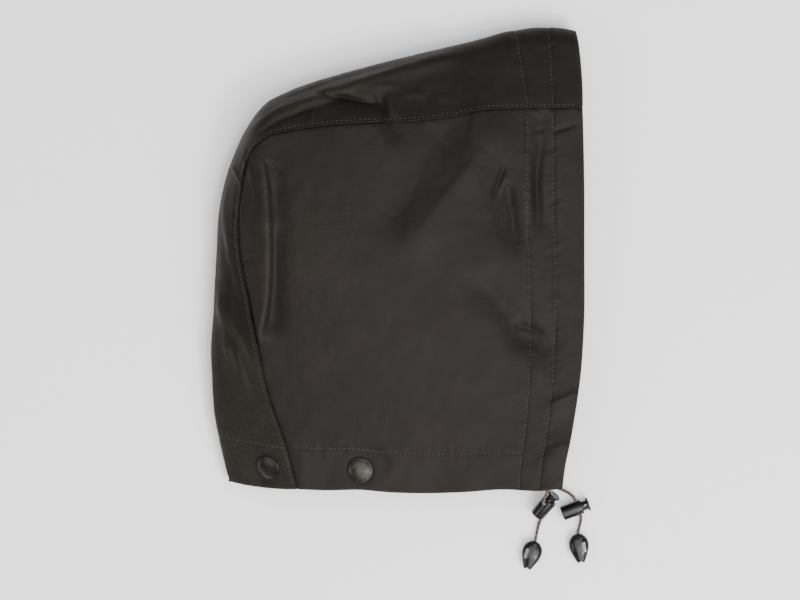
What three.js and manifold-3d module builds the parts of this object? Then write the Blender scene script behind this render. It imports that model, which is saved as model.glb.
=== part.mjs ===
// A detachable storm hood of waxed cotton, put down on its side with the face opening to the right.
// Millimetres, +Z up. The floor is z = 0 and the origin lies under the middle of the cloth.
// "Near" is the side that faces up, "far" is the side that lies on the floor.

import * as THREE from 'three';
import { mergeVertices } from 'three/addons/utils/BufferGeometryUtils.js';
import Module from 'manifold-3d';

const wasm = await Module();
wasm.setup();

// Cloth
const DEPTH = 261;
const HEIGHT = 326;
const CLOTH = 1.2;
const GAP = 0.3;
const SEAM_GAP = 0.6;

// How high the upper layer stands over the floor at the corners of the hood and in its middle
const RISE_NAPE = 24;
const RISE_CHIN = 22;
const RISE_CROWN = 40;
const RISE_BROW = 32;
const BELLY = 12;

// The gusset falls away from the seam, rolls over the fold line and curls down to the floor
const FOLD_LINE_HEIGHT = 14;
const GUSSET_FALL = 10;
const ROLL = 12;
const CURL = 16;

// Folds and dents of the upper layer
const FOLD_RISE = 5;
const FOLD_WIDTH = 14;

// Stitched bands, measured from the face edge and from the neck edge
const TUNNEL = 20.6;
const FACING = 38;
const HEM_FRONT = 24.5;

// Drawcord, and where it runs in the tunnel as shares of the tunnel's width from the face edge
const CORD = 2.2;
const CORD_SIDES = 8;
const CORD_NEAR = 0.65;
const CORD_FAR = 0.35;
const TUNNEL_CLEARANCE = 0.5;

// Snaps
const CAP_DIAMETER = 17.5;
const CAP_HEIGHT = 2.2;
const SHANK_RADIUS = 2.2;
const SHANK_FLARE = 3.1;
const FLARE_THICKNESS = 0.5;
const HOLE_CLEARANCE = 0.4;
const SOCKET_RADIUS = 6.2;
const SOCKET_HEIGHT = 3.4;
const SOCKET_BORE = 3.9;
const SOCKET_PLATE = 0.9;
const SOCKET_EDGE = 0.4;
const SNAP_FROM_HEM = 0.49;
const SNAP_FROM_SEAM_GUSSET = 16.5;
const SNAP_FROM_SEAM_PANEL = 47.5;
const SEAT_MARGIN = 1.75;
const SEAT_FADE = 12;
const FLOOR_SEAT_FADE = 26;
const SNAP_TILT = 35;
const SNAP_TILT_HEADING = 220;
const LATHE_SIDES = 14;

// Cord locks
const BARREL_RADIUS = 5.2;
const BARREL_LENGTH = 15;
const BARREL_EDGE = 0.8;
const BARREL_FLOOR = 2.6;
const STEM_RADIUS = 3.4;
const STEM_CLEARANCE = 0.3;
const STEM_BOTTOM = 6;
const PUSH = 2.2;
const NECK = 3.8;
const HEAD_RADIUS = 4.8;
const HEAD_THICKNESS = 1.4;
const HEAD_EDGE = 0.3;
const CORD_HOLE_HEIGHT = 12;
const CORD_HOLE_CLEARANCE = 0.5;
const NECK_WINDOW = 3.4;
const NECK_WINDOW_HEIGHT = 1.9;

// Cord ends
const END_LENGTH = 19.4;
const END_WIDTH = 14;
const END_THICKNESS = 8.6;
const END_HOLE_DEPTH = 6.4;
const END_SLOT_WIDTH = 2.6;
const END_SLOT_LENGTH = 7.6;
const END_SLOT_ALONG = 9.6;
const END_SLOT_ASIDE = 3.4;
const RING_SIDES = 12;
const HOLE_SIDES = 12;

// Lists of rows become lists of objects with the columns' names
const table = (columns, rows) =>
  rows.map((row) => Object.fromEntries(columns.map((column, i) => [column, row[i]])));

// Sections across the gusset from nape to brow, as shares of the hood's depth and height:
// the fold line, its height over the floor, the near seam, the far seam and the outward bow
const SECTIONS = table(
  ['foldAcross', 'foldUp', 'foldHeight', 'seamAcross', 'seamUp', 'farAcross', 'farUp', 'bow'],
  [
    [0.048, 0.0225, 0.6, 0.23, 0.0086, 0.262, 0.024, -0.0055],
    [0.0195, 0.121, 0.8, 0.203, 0.098, 0.236, 0.114, 0],
    [0.003, 0.24, 1.0, 0.146, 0.24, 0.203, 0.25, 0],
    [0.001, 0.308, 1.0, 0.13, 0.312, 0.196, 0.32, 0],
    [0.008, 0.415, 1.05, 0.106, 0.415, 0.197, 0.415, 0],
    [0.015, 0.5225, 1.1, 0.08, 0.52, 0.203, 0.505, 0],
    [0.024, 0.619, 1.15, 0.0775, 0.605, 0.215, 0.575, 0],
    [0.054, 0.707, 1.2, 0.092, 0.68, 0.24, 0.635, 0],
    [0.096, 0.784, 1.2, 0.1125, 0.733, 0.275, 0.678, 0],
    [0.145, 0.834, 1.2, 0.15, 0.761, 0.32, 0.706, 0],
    [0.211, 0.864, 1.15, 0.211, 0.7745, 0.372, 0.722, 0],
    [0.305, 0.8895, 1.1, 0.305, 0.7855, 0.435, 0.737, 0],
    [0.434, 0.9195, 1.05, 0.434, 0.7925, 0.525, 0.752, 0],
    [0.6265, 0.956, 1.0, 0.6265, 0.805, 0.668, 0.776, 0],
    [0.723, 0.976, 1.0, 0.735, 0.821, 0.75, 0.79, 0],
    [0.822, 0.995, 1.0, 0.852, 0.825, 0.845, 0.803, 0],
    [0.908, 1.0, 1.0, 0.917, 0.825, 0.915, 0.81, 0],
    [0.98, 0.9925, 1.0, 0.9946, 0.827, 0.985, 0.815, 0.005],
  ],
);
const HEM_SECTION = 1;
const CORNER_SECTION = 8;

// Lines of the gusset round its fold, where the near seam is 0, the fold line 1 and the far seam 2
const ROLL_LINES = [0.8, 0.92, 1, 1.05, 1.13, 1.28];

// Edges of the side panels, as shares of the hood's depth and height
const NEAR_HEM = table(['across', 'up'], [
  [0.23, 0.0086], [0.3186, 0.0064], [0.4016, 0.0075], [0.466, 0.0026], [0.578, 0],
  [0.691, 0.0032], [0.774, 0.008], [0.881, 0.0054], [0.942, 0.0097],
]);
const NEAR_FACE = table(['across', 'up'], [
  [0.942, 0.0097], [0.9505, 0.063], [0.964, 0.115], [0.98, 0.192], [0.989, 0.2436],
  [0.9987, 0.351], [1.0, 0.5225], [0.9987, 0.707], [0.9946, 0.827],
]);
const FAR_HEM = table(['across', 'up'], [
  [0.262, 0.024], [0.4, 0.022], [0.58, 0.02], [0.76, 0.026], [0.936, 0.03],
]);
const FAR_FACE = table(['across', 'up'], [
  [0.936, 0.03], [0.952, 0.1], [0.972, 0.21], [0.984, 0.34], [0.988, 0.52], [0.987, 0.7], [0.985, 0.815],
]);

// Folds and dents of the upper layer, each along a line: where it runs, its rise as a share of FOLD_RISE
// (negative is a dent) and its width as a share of FOLD_WIDTH
const FOLDS = table(['fromAcross', 'fromUp', 'toAcross', 'toUp', 'rise', 'width'], [
  [0.11, 0.778, 0.292, 0.844, 0.5, 0.5],
  [0.292, 0.844, 0.629, 0.941, 0.5, 0.5],
  [0.292, 0.851, 0.442, 0.834, -0.5, 0.5],
  [0.455, 0.84, 0.49, 0.769, -0.35, 0.45],
  [0.021, 0.402, 0.1125, 0.263, 0.4, 0.5],
  [0.048, 0.306, 0.11, 0.153, 0.35, 0.5],
  [0.126, 0.722, 0.154, 0.583, 0.5, 0.5],
  [0.154, 0.583, 0.134, 0.3465, 0.5, 0.5],
  [0.177, 0.65, 0.172, 0.37, -0.35, 0.5],
  [0.739, 0.754, 0.5515, 0.5655, 0.9, 1.2],
  [0.613, 0.737, 0.493, 0.598, -0.7, 1.2],
  [0.779, 0.638, 0.811, 0.542, -0.5, 0.6],
  [0.878, 0.797, 0.889, 0.583, -0.4, 0.5],
  [0.731, 0.437, 0.843, 0.34, -0.5, 0.8],
  [0.843, 0.34, 0.889, 0.319, -0.5, 0.8],
  [0.913, 0.181, 0.975, 0.2006, 0.35, 0.5],
  [0.8996, 0.0697, 0.948, 0.0976, 0.35, 0.5],
]);

// Dome of a snap cap from its rim to its crown, as shares of its radius and height
const CAP_DOME = table(['radius', 'height'], [
  [0.96, 0], [1, 0.18], [0.98, 0.45], [0.84, 0.74], [0.52, 0.93], [0, 1],
]);

// Outline of a cord end from mouth to tip, as shares of its length, width and thickness
const END_STATIONS = table(['along', 'width', 'thickness'], [
  [0, 0.4, 0.55], [0.06, 0.6, 0.74], [0.16, 0.84, 0.92], [0.3, 0.98, 1], [0.42, 1, 1],
  [0.6, 0.9, 0.94], [0.78, 0.7, 0.78], [0.92, 0.52, 0.6], [1, 0.43, 0.5],
]);

// Where the cord locks and cord ends lie: plan place of the closed end or mouth, height of its middle,
// compass heading, pitch of the axis and roll of the cord hole about it
const LOCKS = table(['name', 'x', 'y', 'z', 'heading', 'pitch', 'roll'], [
  ['near', 97.9, -179.3, 7.5, 51, 18, 18],
  ['far', 115.7, -178.2, BARREL_RADIUS, 20.3, 0, 75],
]);
const ENDS = table(['name', 'x', 'y', 'heading', 'slotSide'], [
  ['near', 96.8, -197.8, 253.3, 1],
  ['far', 126.6, -192.6, 277.5, -1],
]);

// Routes of the two free cord ends, chosen by hand
const TAILS = {
  near: [
    [104.6, -161.1, 20.2], [104.2, -162.8, 20.6], [103.6, -164.5, 20.9], [102.95, -166.05, 20.95],
    [102.45, -167.2, 20.7], [102.15, -168.3, 20.15], [102.0, -169.3, 19.3], [102.1, -170.05, 18.25],
    [102.4, -170.5, 17.1], [102.87, -170.6, 15.9], [105.08, -170.43, 11.2], [107.3, -170.25, 6.5],
    [107.7, -170.35, 5.45], [108.0, -170.7, 4.4], [108.15, -171.25, 3.45], [108.1, -172.0, 2.65],
    [107.9, -172.95, 2.0], [107.5, -173.95, 1.6], [106.9, -175.0, 1.4], [105.6, -176.8, 1.3],
    [103.8, -178.8, 1.25], [102.0, -180.9, 1.25], [100.5, -183.3, 1.3], [99.4, -186.2, 1.6],
    [98.6, -189.3, 2.3], [97.9, -192.5, 3.3], [97.2, -195.5, 4.0], [96.5, -198.6, 4.3],
    [95.2, -203.1, 4.3],
  ],
  far: [
    [108.2, -153.8, 2.8], [108.05, -155.2, 2.75], [108.25, -156.6, 2.65], [108.9, -157.85, 2.6],
    [109.95, -158.85, 2.55], [111.2, -159.6, 2.5], [112.6, -160.15, 2.5], [114.3, -160.8, 2.6],
    [116.3, -161.6, 3.0], [118.5, -162.6, 3.9], [120.5, -163.7, 5.0], [122.3, -165.0, 6.0],
    [123.7, -166.4, 6.65], [124.6, -167.85, 6.8], [125.21, -169.33, 6.55], [126.95, -174.04, 5.2],
    [128.7, -178.75, 3.85], [129.1, -180.2, 3.4], [129.2, -181.8, 3.0], [129.0, -183.6, 2.75],
    [128.5, -185.6, 2.75], [127.9, -187.8, 3.1], [127.3, -190.0, 3.7], [126.9, -192.0, 4.15],
    [126.8, -193.9, 4.3], [127.3, -198.2, 4.3],
  ],
};

// Materials
const cloth = (color) => new THREE.MeshStandardMaterial({ color, roughness: 0.72, metalness: 0 });
const waxedPanel = cloth(0x3f3a37);
const waxedGusset = cloth(0x2d2926);
const innerCloth = cloth(0x38332f);
const cordYarn = new THREE.MeshStandardMaterial({ color: 0x5a4a3e, roughness: 0.9, metalness: 0 });
const gunmetal = new THREE.MeshStandardMaterial({ color: 0x34322f, roughness: 0.38, metalness: 0.9 });
const blackPlastic = new THREE.MeshStandardMaterial({ color: 0x1b1b1d, roughness: 0.32, metalness: 0 });

const { lerp, clamp, smoothstep, degToRad } = THREE.MathUtils;
const plan = (across, up) => [(across - 0.5) * DEPTH, (up - 0.5) * HEIGHT];

// Running length along plan points, as shares of the whole
function shareKnots(points) {
  const lengths = [0];
  for (let i = 1; i < points.length; i++) {
    const step = Math.hypot(points[i][0] - points[i - 1][0], points[i][1] - points[i - 1][1]);
    lengths.push(lengths[i - 1] + step);
  }
  return lengths.map((length) => length / lengths.at(-1));
}

// Smooth curve through rows of numbers, one row at each knot
function curveThrough(rows, knots) {
  const last = rows.length - 1;
  const slope = (i, k) => (rows[i + 1][k] - rows[i][k]) / (knots[i + 1] - knots[i]);
  const tangent = (i, k) => {
    if (i === 0) return slope(0, k);
    if (i === last) return slope(last - 1, k);
    const before = knots[i] - knots[i - 1];
    const after = knots[i + 1] - knots[i];
    return (slope(i, k) * before + slope(i - 1, k) * after) / (before + after);
  };
  return (q) => {
    let i = 0;
    while (i < last - 1 && q > knots[i + 1]) i++;
    const span = knots[i + 1] - knots[i];
    const f = (q - knots[i]) / span;
    const f2 = f * f;
    const f3 = f2 * f;
    return rows[i].map((value, k) => (
      (2 * f3 - 3 * f2 + 1) * value
      + (f3 - 2 * f2 + f) * span * tangent(i, k)
      + (3 * f2 - 2 * f3) * rows[i + 1][k]
      + (f3 - f2) * span * tangent(i + 1, k)
    ));
  };
}

function edgeCurve(rows) {
  const points = rows.map((row) => plan(row.across, row.up));
  return curveThrough(points, shareKnots(points));
}

// Curves of the gusset, all with the near seam's running length as their parameter q
const seamPoints = SECTIONS.map((s) => plan(s.seamAcross, s.seamUp));
const knots = shareKnots(seamPoints);
const nearSeam = curveThrough(seamPoints, knots);
const farSeam = curveThrough(SECTIONS.map((s) => plan(s.farAcross, s.farUp)), knots);
const foldLine = curveThrough(SECTIONS.map((s) => plan(s.foldAcross, s.foldUp)), knots);
const foldShape = curveThrough(SECTIONS.map((s) => [s.foldHeight * FOLD_LINE_HEIGHT, s.bow * DEPTH]), knots);
const CORNER = knots[CORNER_SECTION];
const HEM = knots[HEM_SECTION] / CORNER;

// Side panel in plan: s runs from the seam to the face edge, t from the hem to the crown
function panelPlan(hem, face, seam) {
  const steps = 40;
  let faceLength = 0;
  for (let i = 0; i < steps; i++) {
    const [from, to] = [face(i / steps), face((i + 1) / steps)];
    faceLength += Math.hypot(to[0] - from[0], to[1] - from[1]);
  }
  const back = (t) => seam(CORNER * t);
  const top = (s) => seam(lerp(CORNER, 1, s));
  return (s, t) => {
    const hemHere = lerp(HEM, HEM_FRONT / faceLength, s);
    const up = t < HEM ? (t / HEM) * hemHere : lerp(hemHere, 1, (t - HEM) / (1 - HEM));
    const [b, f, h, c] = [back(up), face(up), hem(s), top(s)];
    const corners = [hem(0), hem(1), top(0), top(1)];
    return [0, 1].map((k) => (
      lerp(b[k], f[k], s) + lerp(h[k], c[k], up)
      - lerp(lerp(corners[0][k], corners[1][k], s), lerp(corners[2][k], corners[3][k], s), up)
    ));
  };
}
const nearPlan = panelPlan(edgeCurve(NEAR_HEM), edgeCurve(NEAR_FACE), nearSeam);
const farPlan = panelPlan(edgeCurve(FAR_HEM), edgeCurve(FAR_FACE), farSeam);

// Height of the upper layer over a plan point, before the gusset falls away
function foldRise(x, y) {
  let rise = 0;
  for (const fold of FOLDS) {
    const [ax, ay] = plan(fold.fromAcross, fold.fromUp);
    const [bx, by] = plan(fold.toAcross, fold.toUp);
    const [dx, dy] = [bx - ax, by - ay];
    const f = clamp(((x - ax) * dx + (y - ay) * dy) / (dx * dx + dy * dy), 0, 1);
    const distance = Math.hypot(x - ax - f * dx, y - ay - f * dy);
    rise += fold.rise * FOLD_RISE * Math.exp(-((distance / (fold.width * FOLD_WIDTH)) ** 2));
  }
  return rise;
}

function loft(x, y) {
  const across = clamp(x / DEPTH + 0.5, 0, 1);
  const up = clamp(y / HEIGHT + 0.5, 0, 1);
  const corners = lerp(lerp(RISE_NAPE, RISE_CHIN, across), lerp(RISE_CROWN, RISE_BROW, across), up);
  return corners + BELLY * Math.sin(Math.PI * across) * Math.sin(Math.PI * up) + foldRise(x, y);
}

// Middle surfaces of the cloth before the snaps press their seats into it.
// The gusset's c runs from the near seam at 0 over the fold line at 1 to the far seam at 2.
const FLAT = CLOTH / 2;

function nearRaw(s, t) {
  const [x, y] = nearPlan(s, t);
  return new THREE.Vector3(x, y, loft(x, y));
}

function farRaw(s, t) {
  const [x, y] = farPlan(s, t);
  return new THREE.Vector3(x, y, FLAT);
}

function gussetRaw(q, c) {
  const fold = foldLine(q);
  const [foldHeight, bow] = foldShape(q);
  const end = c < 1 ? nearSeam(q) : farSeam(q);
  const width = Math.hypot(fold[0] - end[0], fold[1] - end[1]);
  const share = Math.abs(c - 1);
  const lean = c < 1 ? (bow * 4 * share * (1 - share)) / width : 0;
  const x = lerp(fold[0], end[0], share) + (fold[1] - end[1]) * lean;
  const y = lerp(fold[1], end[1], share) - (fold[0] - end[0]) * lean;
  if (c < 1) {
    const roll = Math.min(ROLL, width);
    const k = clamp(1 - (share * width) / roll, 0, 1);
    const top = loft(x, y) - GUSSET_FALL * (1 - share);
    return new THREE.Vector3(x, y, foldHeight + (top - foldHeight) * Math.sqrt(1 - k * k));
  }
  const k = clamp(1 - (share * width) / CURL, 0, 1);
  return new THREE.Vector3(x, y, FLAT + (foldHeight - FLAT) * (1 - Math.sqrt(1 - k * k)));
}

// Outward normal of a surface at(u, v), by small differences
function normalOf(at, u, v, side) {
  const e = 1e-4;
  const du = at(Math.min(u + e, 1), v).sub(at(Math.max(u - e, 0), v));
  const dv = at(u, v + e).sub(at(u, Math.max(v - e, 0)));
  return du.cross(dv).normalize().multiplyScalar(side);
}

// Seats of the four snaps, halfway up the hem
const SEAT = CAP_DIAMETER / 2 + SEAT_MARGIN;
const SEAT_RADIUS = SEAT * Math.SQRT2;
const snapUp = HEM * SNAP_FROM_HEM;
const spanOf = (at, from, to) => at(...from).distanceTo(at(...to));
const panelSpan = (at) => spanOf(at, [0, snapUp], [1, snapUp]);
const gussetPlan = (q, c) => gussetRaw(q, c).setZ(0);
const gussetSpan = (c) => spanOf(gussetPlan, [snapUp * CORNER, 1], [snapUp * CORNER, c]);
const nearPanelSnap = SNAP_FROM_SEAM_PANEL / panelSpan(nearRaw);
const farPanelSnap = SNAP_FROM_SEAM_PANEL / panelSpan(farRaw);
const nearGussetSnap = SNAP_FROM_SEAM_GUSSET / gussetSpan(0);
const farGussetSnap = 2 - SNAP_FROM_SEAM_GUSSET / gussetSpan(2);

const tilted = new THREE.Vector3(
  Math.sin(degToRad(SNAP_TILT)) * Math.cos(degToRad(SNAP_TILT_HEADING)),
  Math.sin(degToRad(SNAP_TILT)) * Math.sin(degToRad(SNAP_TILT_HEADING)),
  Math.cos(degToRad(SNAP_TILT)),
);
const upperSeats = [
  { centre: gussetRaw(snapUp * CORNER, nearGussetSnap), normal: tilted },
  { centre: nearRaw(nearPanelSnap, snapUp), normal: normalOf(nearRaw, nearPanelSnap, snapUp, 1) },
];
const floorSeats = [gussetRaw(snapUp * CORNER, farGussetSnap), farRaw(farPanelSnap, snapUp)];
const CAP_LIFT = CAP_HEIGHT + GAP;

function settle(point) {
  for (const { centre, normal } of upperSeats) {
    const [dx, dy] = [point.x - centre.x, point.y - centre.y];
    const plane = centre.z - (dx * normal.x + dy * normal.y) / normal.z;
    const weight = 1 - smoothstep(Math.hypot(dx, dy), SEAT_RADIUS, SEAT_RADIUS + SEAT_FADE);
    point.z = lerp(point.z, plane, weight);
  }
  return point;
}

function liftOff(point) {
  const lifts = floorSeats.map((centre) => {
    const distance = Math.hypot(point.x - centre.x, point.y - centre.y);
    return CAP_LIFT * (1 - smoothstep(distance, SEAT_RADIUS, SEAT_RADIUS + FLOOR_SEAT_FADE));
  });
  const lift = Math.max(...lifts);
  point.z = Math.max(point.z, FLAT + lift);
  return point;
}

const nearAt = (s, t) => settle(nearRaw(s, t));
const farAt = (s, t) => liftOff(farRaw(s, t));
const gussetAt = (q, c) => (c < 1 ? settle(gussetRaw(q, c)) : liftOff(gussetRaw(q, c)));
const NEAR = { at: nearAt, side: 1, seam: 0 };
const FAR = { at: farAt, side: -1, seam: 2 };
const GUSSET = { at: gussetAt, side: 1 };
const onTop = (s) => lerp(CORNER, 1, s);

// The same place on the other piece where (u, v) lies on a seam
function acrossSeam(surface, u, v) {
  if (surface !== GUSSET) {
    if (u === 0) return [GUSSET, v * CORNER, surface.seam];
    return v === 1 ? [GUSSET, onTop(u), surface.seam] : null;
  }
  if (v !== 0 && v !== 2) return null;
  const panel = v === 0 ? NEAR : FAR;
  return u <= CORNER ? [panel, 0, u / CORNER] : [panel, (u - CORNER) / (1 - CORNER), 1];
}

// Outward normal of the cloth, and on a seam the mean of both pieces' normals, so that they meet in a mitre
function clothNormal(surface, u, v) {
  const normal = normalOf(surface.at, u, v, surface.side);
  const twin = acrossSeam(surface, u, v);
  if (twin) {
    const [other, otherU, otherV] = twin;
    normal.add(normalOf(other.at, otherU, otherV, other.side)).normalize();
  }
  return normal;
}

// Grid lines of the cloth. The seats, the stitch lines and the seams each lie on a line.
const even = (from, to, cells) => Array.from({ length: cells + 1 }, (_, i) => lerp(from, to, i / cells));
const around = (centre, reach) => [centre - reach, centre, centre + reach];
const bandWidth = spanOf(nearRaw, [0, 0.5], [1, 0.5]);
const facing = 1 - FACING / bandWidth;
const tunnel = 1 - TUNNEL / bandWidth;
const inTunnel = (share) => lerp(1, tunnel, share);
const tunnelLines = [tunnel, inTunnel(CORD_NEAR), inTunnel(CORD_FAR), 1];
const facingLines = [facing, lerp(facing, tunnel, 0.5), ...tunnelLines];
const hemHeight = spanOf(nearRaw, [nearPanelSnap, 0], [nearPanelSnap, HEM]);
const hemLines = [0, ...around(SNAP_FROM_HEM, SEAT / hemHeight), 1].map((f) => f * HEM);
const nearSeat = around(nearPanelSnap, SEAT / panelSpan(nearRaw));
const farSeat = around(farPanelSnap, SEAT / panelSpan(farRaw));
const panelUp = (cells) => [...hemLines.slice(0, -1), ...even(HEM, 1, cells)];
const nearLines = {
  s: [
    ...even(0, nearSeat[0], 3), ...nearSeat.slice(1), ...even(nearSeat[2], facing, 10).slice(1),
    ...facingLines.slice(1),
  ],
  t: panelUp(14),
};
const farLines = {
  s: [0, ...farSeat, ...even(farSeat[2], facing, 4).slice(1), tunnel, 1],
  t: panelUp(8),
};
const gussetLines = {
  q: [...nearLines.t.map((t) => t * CORNER), ...nearLines.s.slice(1).map((s) => lerp(CORNER, 1, s))],
  c: [
    0, ...around(nearGussetSnap, SEAT / gussetSpan(0)), ...ROLL_LINES,
    ...around(farGussetSnap, SEAT / gussetSpan(2)), 2,
  ],
};

// Point and normal of a surface at (u, v), sunk under it by a depth
function skin(surface, u, v, depth = 0) {
  const normal = clothNormal(surface, u, v);
  return { point: surface.at(u, v).addScaledVector(normal, -depth), normal };
}

// Closed sheet of cloth around a grid of middle points with normals. The rows before turned have their
// cells split along the other diagonal, where the grid runs against the one of the cloth over it.
function sheet(grid, thickness, turned = 0) {
  const [rows, columns] = [grid.length, grid[0].length];
  const positions = [];
  for (const half of [thickness / 2, -thickness / 2]) {
    for (const { point, normal } of grid.flat()) {
      positions.push(...point.clone().addScaledVector(normal, half));
    }
  }
  const outer = (i, j) => i * columns + j;
  const inner = (i, j) => rows * columns + outer(i, j);
  const faces = [];
  const quad = (a, b, c, d) => faces.push(a, b, c, a, c, d);
  const cell = (i, a, b, c, d) => (i < turned ? quad(b, c, d, a) : quad(a, b, c, d));
  for (let i = 0; i + 1 < rows; i++) {
    for (let j = 0; j + 1 < columns; j++) {
      cell(i, outer(i, j), outer(i + 1, j), outer(i + 1, j + 1), outer(i, j + 1));
      cell(i, inner(i + 1, j + 1), inner(i + 1, j), inner(i, j), inner(i, j + 1));
    }
    quad(outer(i + 1, 0), outer(i, 0), inner(i, 0), inner(i + 1, 0));
    quad(outer(i, columns - 1), outer(i + 1, columns - 1), inner(i + 1, columns - 1), inner(i, columns - 1));
  }
  for (let j = 0; j + 1 < columns; j++) {
    quad(outer(0, j), outer(0, j + 1), inner(0, j + 1), inner(0, j));
    quad(outer(rows - 1, j + 1), outer(rows - 1, j), inner(rows - 1, j), inner(rows - 1, j + 1));
  }
  const geometry = new THREE.BufferGeometry();
  geometry.setAttribute('position', new THREE.Float32BufferAttribute(positions, 3));
  geometry.setIndex(faces);
  return closed(geometry);
}

// A closed body with shared vertices and its faces pointing out
function closed(geometry) {
  const bare = geometry.clone();
  bare.deleteAttribute('normal');
  bare.deleteAttribute('uv');
  const merged = mergeVertices(bare, 1e-4);
  const index = merged.index.array;
  const place = merged.attributes.position;
  const corner = (i) => new THREE.Vector3().fromBufferAttribute(place, index[i]);
  let volume = 0;
  for (let i = 0; i < index.length; i += 3) {
    volume += corner(i).dot(corner(i + 1).cross(corner(i + 2)));
  }
  if (volume < 0) {
    for (let i = 0; i < index.length; i += 3) [index[i], index[i + 1]] = [index[i + 1], index[i]];
  }
  merged.computeVertexNormals();
  return merged;
}

// Booleans
function solid(geometry) {
  return new wasm.Manifold(new wasm.Mesh({
    numProp: 3,
    vertProperties: new Float32Array(geometry.attributes.position.array),
    triVerts: new Uint32Array(geometry.index.array),
  }));
}

function cut(geometry, cutters) {
  let body = solid(geometry);
  for (const cutter of cutters) body = body.subtract(solid(closed(cutter)));
  const { vertProperties, triVerts } = body.getMesh();
  const result = new THREE.BufferGeometry();
  result.setAttribute('position', new THREE.Float32BufferAttribute(vertProperties, 3));
  result.setIndex(new THREE.Uint32BufferAttribute(triVerts, 1));
  result.computeVertexNormals();
  return result;
}

// Frame with its Y axis along a direction, its Z axis as near as may be to a second one
function frameAlong(origin, along, towards) {
  const y = along.clone().normalize();
  const x = new THREE.Vector3().crossVectors(y, towards).normalize();
  const z = new THREE.Vector3().crossVectors(x, y);
  return new THREE.Matrix4().makeBasis(x, y, z).setPosition(origin);
}

// Scene graph
const hood = new THREE.Group();

function add(name, geometry, material, frame) {
  const mesh = new THREE.Mesh(geometry, material);
  mesh.name = name;
  if (frame) frame.decompose(mesh.position, mesh.quaternion, mesh.scale);
  hood.add(mesh);
}

// Snaps: a cap with its shank outside, a socket ring inside
const STACK = 2 * CLOTH + 3 * GAP;
const snapSpots = [
  { surface: GUSSET, u: snapUp * CORNER, v: nearGussetSnap },
  { surface: NEAR, u: nearPanelSnap, v: snapUp },
  { surface: GUSSET, u: snapUp * CORNER, v: farGussetSnap },
  { surface: FAR, u: farPanelSnap, v: snapUp },
];
const snaps = snapSpots.map(({ surface, u, v }) => {
  const { point, normal } = skin(surface, u, v);
  return frameAlong(point, normal, new THREE.Vector3(1, 0, 0.001));
});

function snapCap() {
  const plate = -STACK - SOCKET_PLATE - GAP;
  const profile = [
    [0, plate - FLARE_THICKNESS], [SHANK_FLARE, plate - FLARE_THICKNESS], [SHANK_FLARE, plate],
    [SHANK_RADIUS, plate], [SHANK_RADIUS, 0],
    ...CAP_DOME.map((row) => [(row.radius * CAP_DIAMETER) / 2, row.height * CAP_HEIGHT]),
  ];
  return new THREE.LatheGeometry(profile.map((p) => new THREE.Vector2(...p)), LATHE_SIDES);
}

function snapSocket() {
  const [r, h] = [SOCKET_RADIUS, SOCKET_HEIGHT];
  const profile = [
    [SHANK_RADIUS + GAP, 0], [SHANK_RADIUS + GAP, -SOCKET_PLATE], [SOCKET_BORE, -SOCKET_PLATE],
    [SOCKET_BORE, -h], [r - SOCKET_EDGE, -h], [r, SOCKET_EDGE - h], [r, 0], [SHANK_RADIUS + GAP, 0],
  ];
  return new THREE.LatheGeometry(profile.map((p) => new THREE.Vector2(...p)), LATHE_SIDES);
}

const outerFace = new THREE.Matrix4().makeTranslation(0, CLOTH / 2 + GAP, 0);
const innerFace = new THREE.Matrix4().makeTranslation(0, CLOTH / 2 + GAP - STACK, 0);
snaps.forEach((frame, i) => {
  add(`snap_cap_${i + 1}`, closed(snapCap()), gunmetal, frame.clone().multiply(outerFace));
  add(`snap_socket_${i + 1}`, closed(snapSocket()), gunmetal, frame.clone().multiply(innerFace));
});

// Punched holes for the shanks of the given snaps
function punches(numbers) {
  return numbers.map((number) => {
    const punch = new THREE.CylinderGeometry(
      SHANK_RADIUS + HOLE_CLEARANCE, SHANK_RADIUS + HOLE_CLEARANCE, 4 * STACK, LATHE_SIDES,
    );
    return punch.applyMatrix4(snaps[number - 1]);
  });
}

// Cloth panels. Edges that meet at a seam are trimmed by half the seam gap each.
function trimmed(surface, us, vs, trim) {
  const reach = (u, v, alongU) => {
    const e = 1e-3;
    const step = alongU ? surface.at(u + (u < 0.5 ? e : -e), v) : surface.at(u, v + (v < 0.5 ? e : -e));
    return (SEAM_GAP / 2) * (e / step.distanceTo(surface.at(u, v)));
  };
  return us.map((u, i) => vs.map((v, j) => {
    const du = (trim.uStart && i === 0) - (trim.uEnd && i === us.length - 1);
    const dv = (trim.vStart && j === 0) - (trim.vEnd && j === vs.length - 1);
    const point = surface.at(u + (du ? du * reach(u, v, true) : 0), v + (dv ? dv * reach(u, v, false) : 0));
    return { point, normal: clothNormal(surface, u, v) };
  }));
}

const sidePanelNear = sheet(trimmed(NEAR, nearLines.s, nearLines.t, { uStart: true, vEnd: true }), CLOTH);
const sidePanelFar = sheet(trimmed(FAR, farLines.s, farLines.t, { uStart: true, vEnd: true }), CLOTH);
const gusset = sheet(trimmed(GUSSET, gussetLines.q, gussetLines.c, { vStart: true, vEnd: true }), CLOTH);
add('side_panel_near', cut(sidePanelNear, punches([2])), waxedPanel);
add('side_panel_far', cut(sidePanelFar, punches([4])), waxedPanel);
add('gusset', cut(gusset, punches([1, 3])), waxedGusset);

// Bands inside the hood. Each runs up the near side, round the gusset and down the far side,
// and each row is a surface with the places across the band on it.
const LAYER = CLOTH + GAP;
const TUNNEL_DEPTH = CORD + 2 * TUNNEL_CLEARANCE - GAP;

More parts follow.
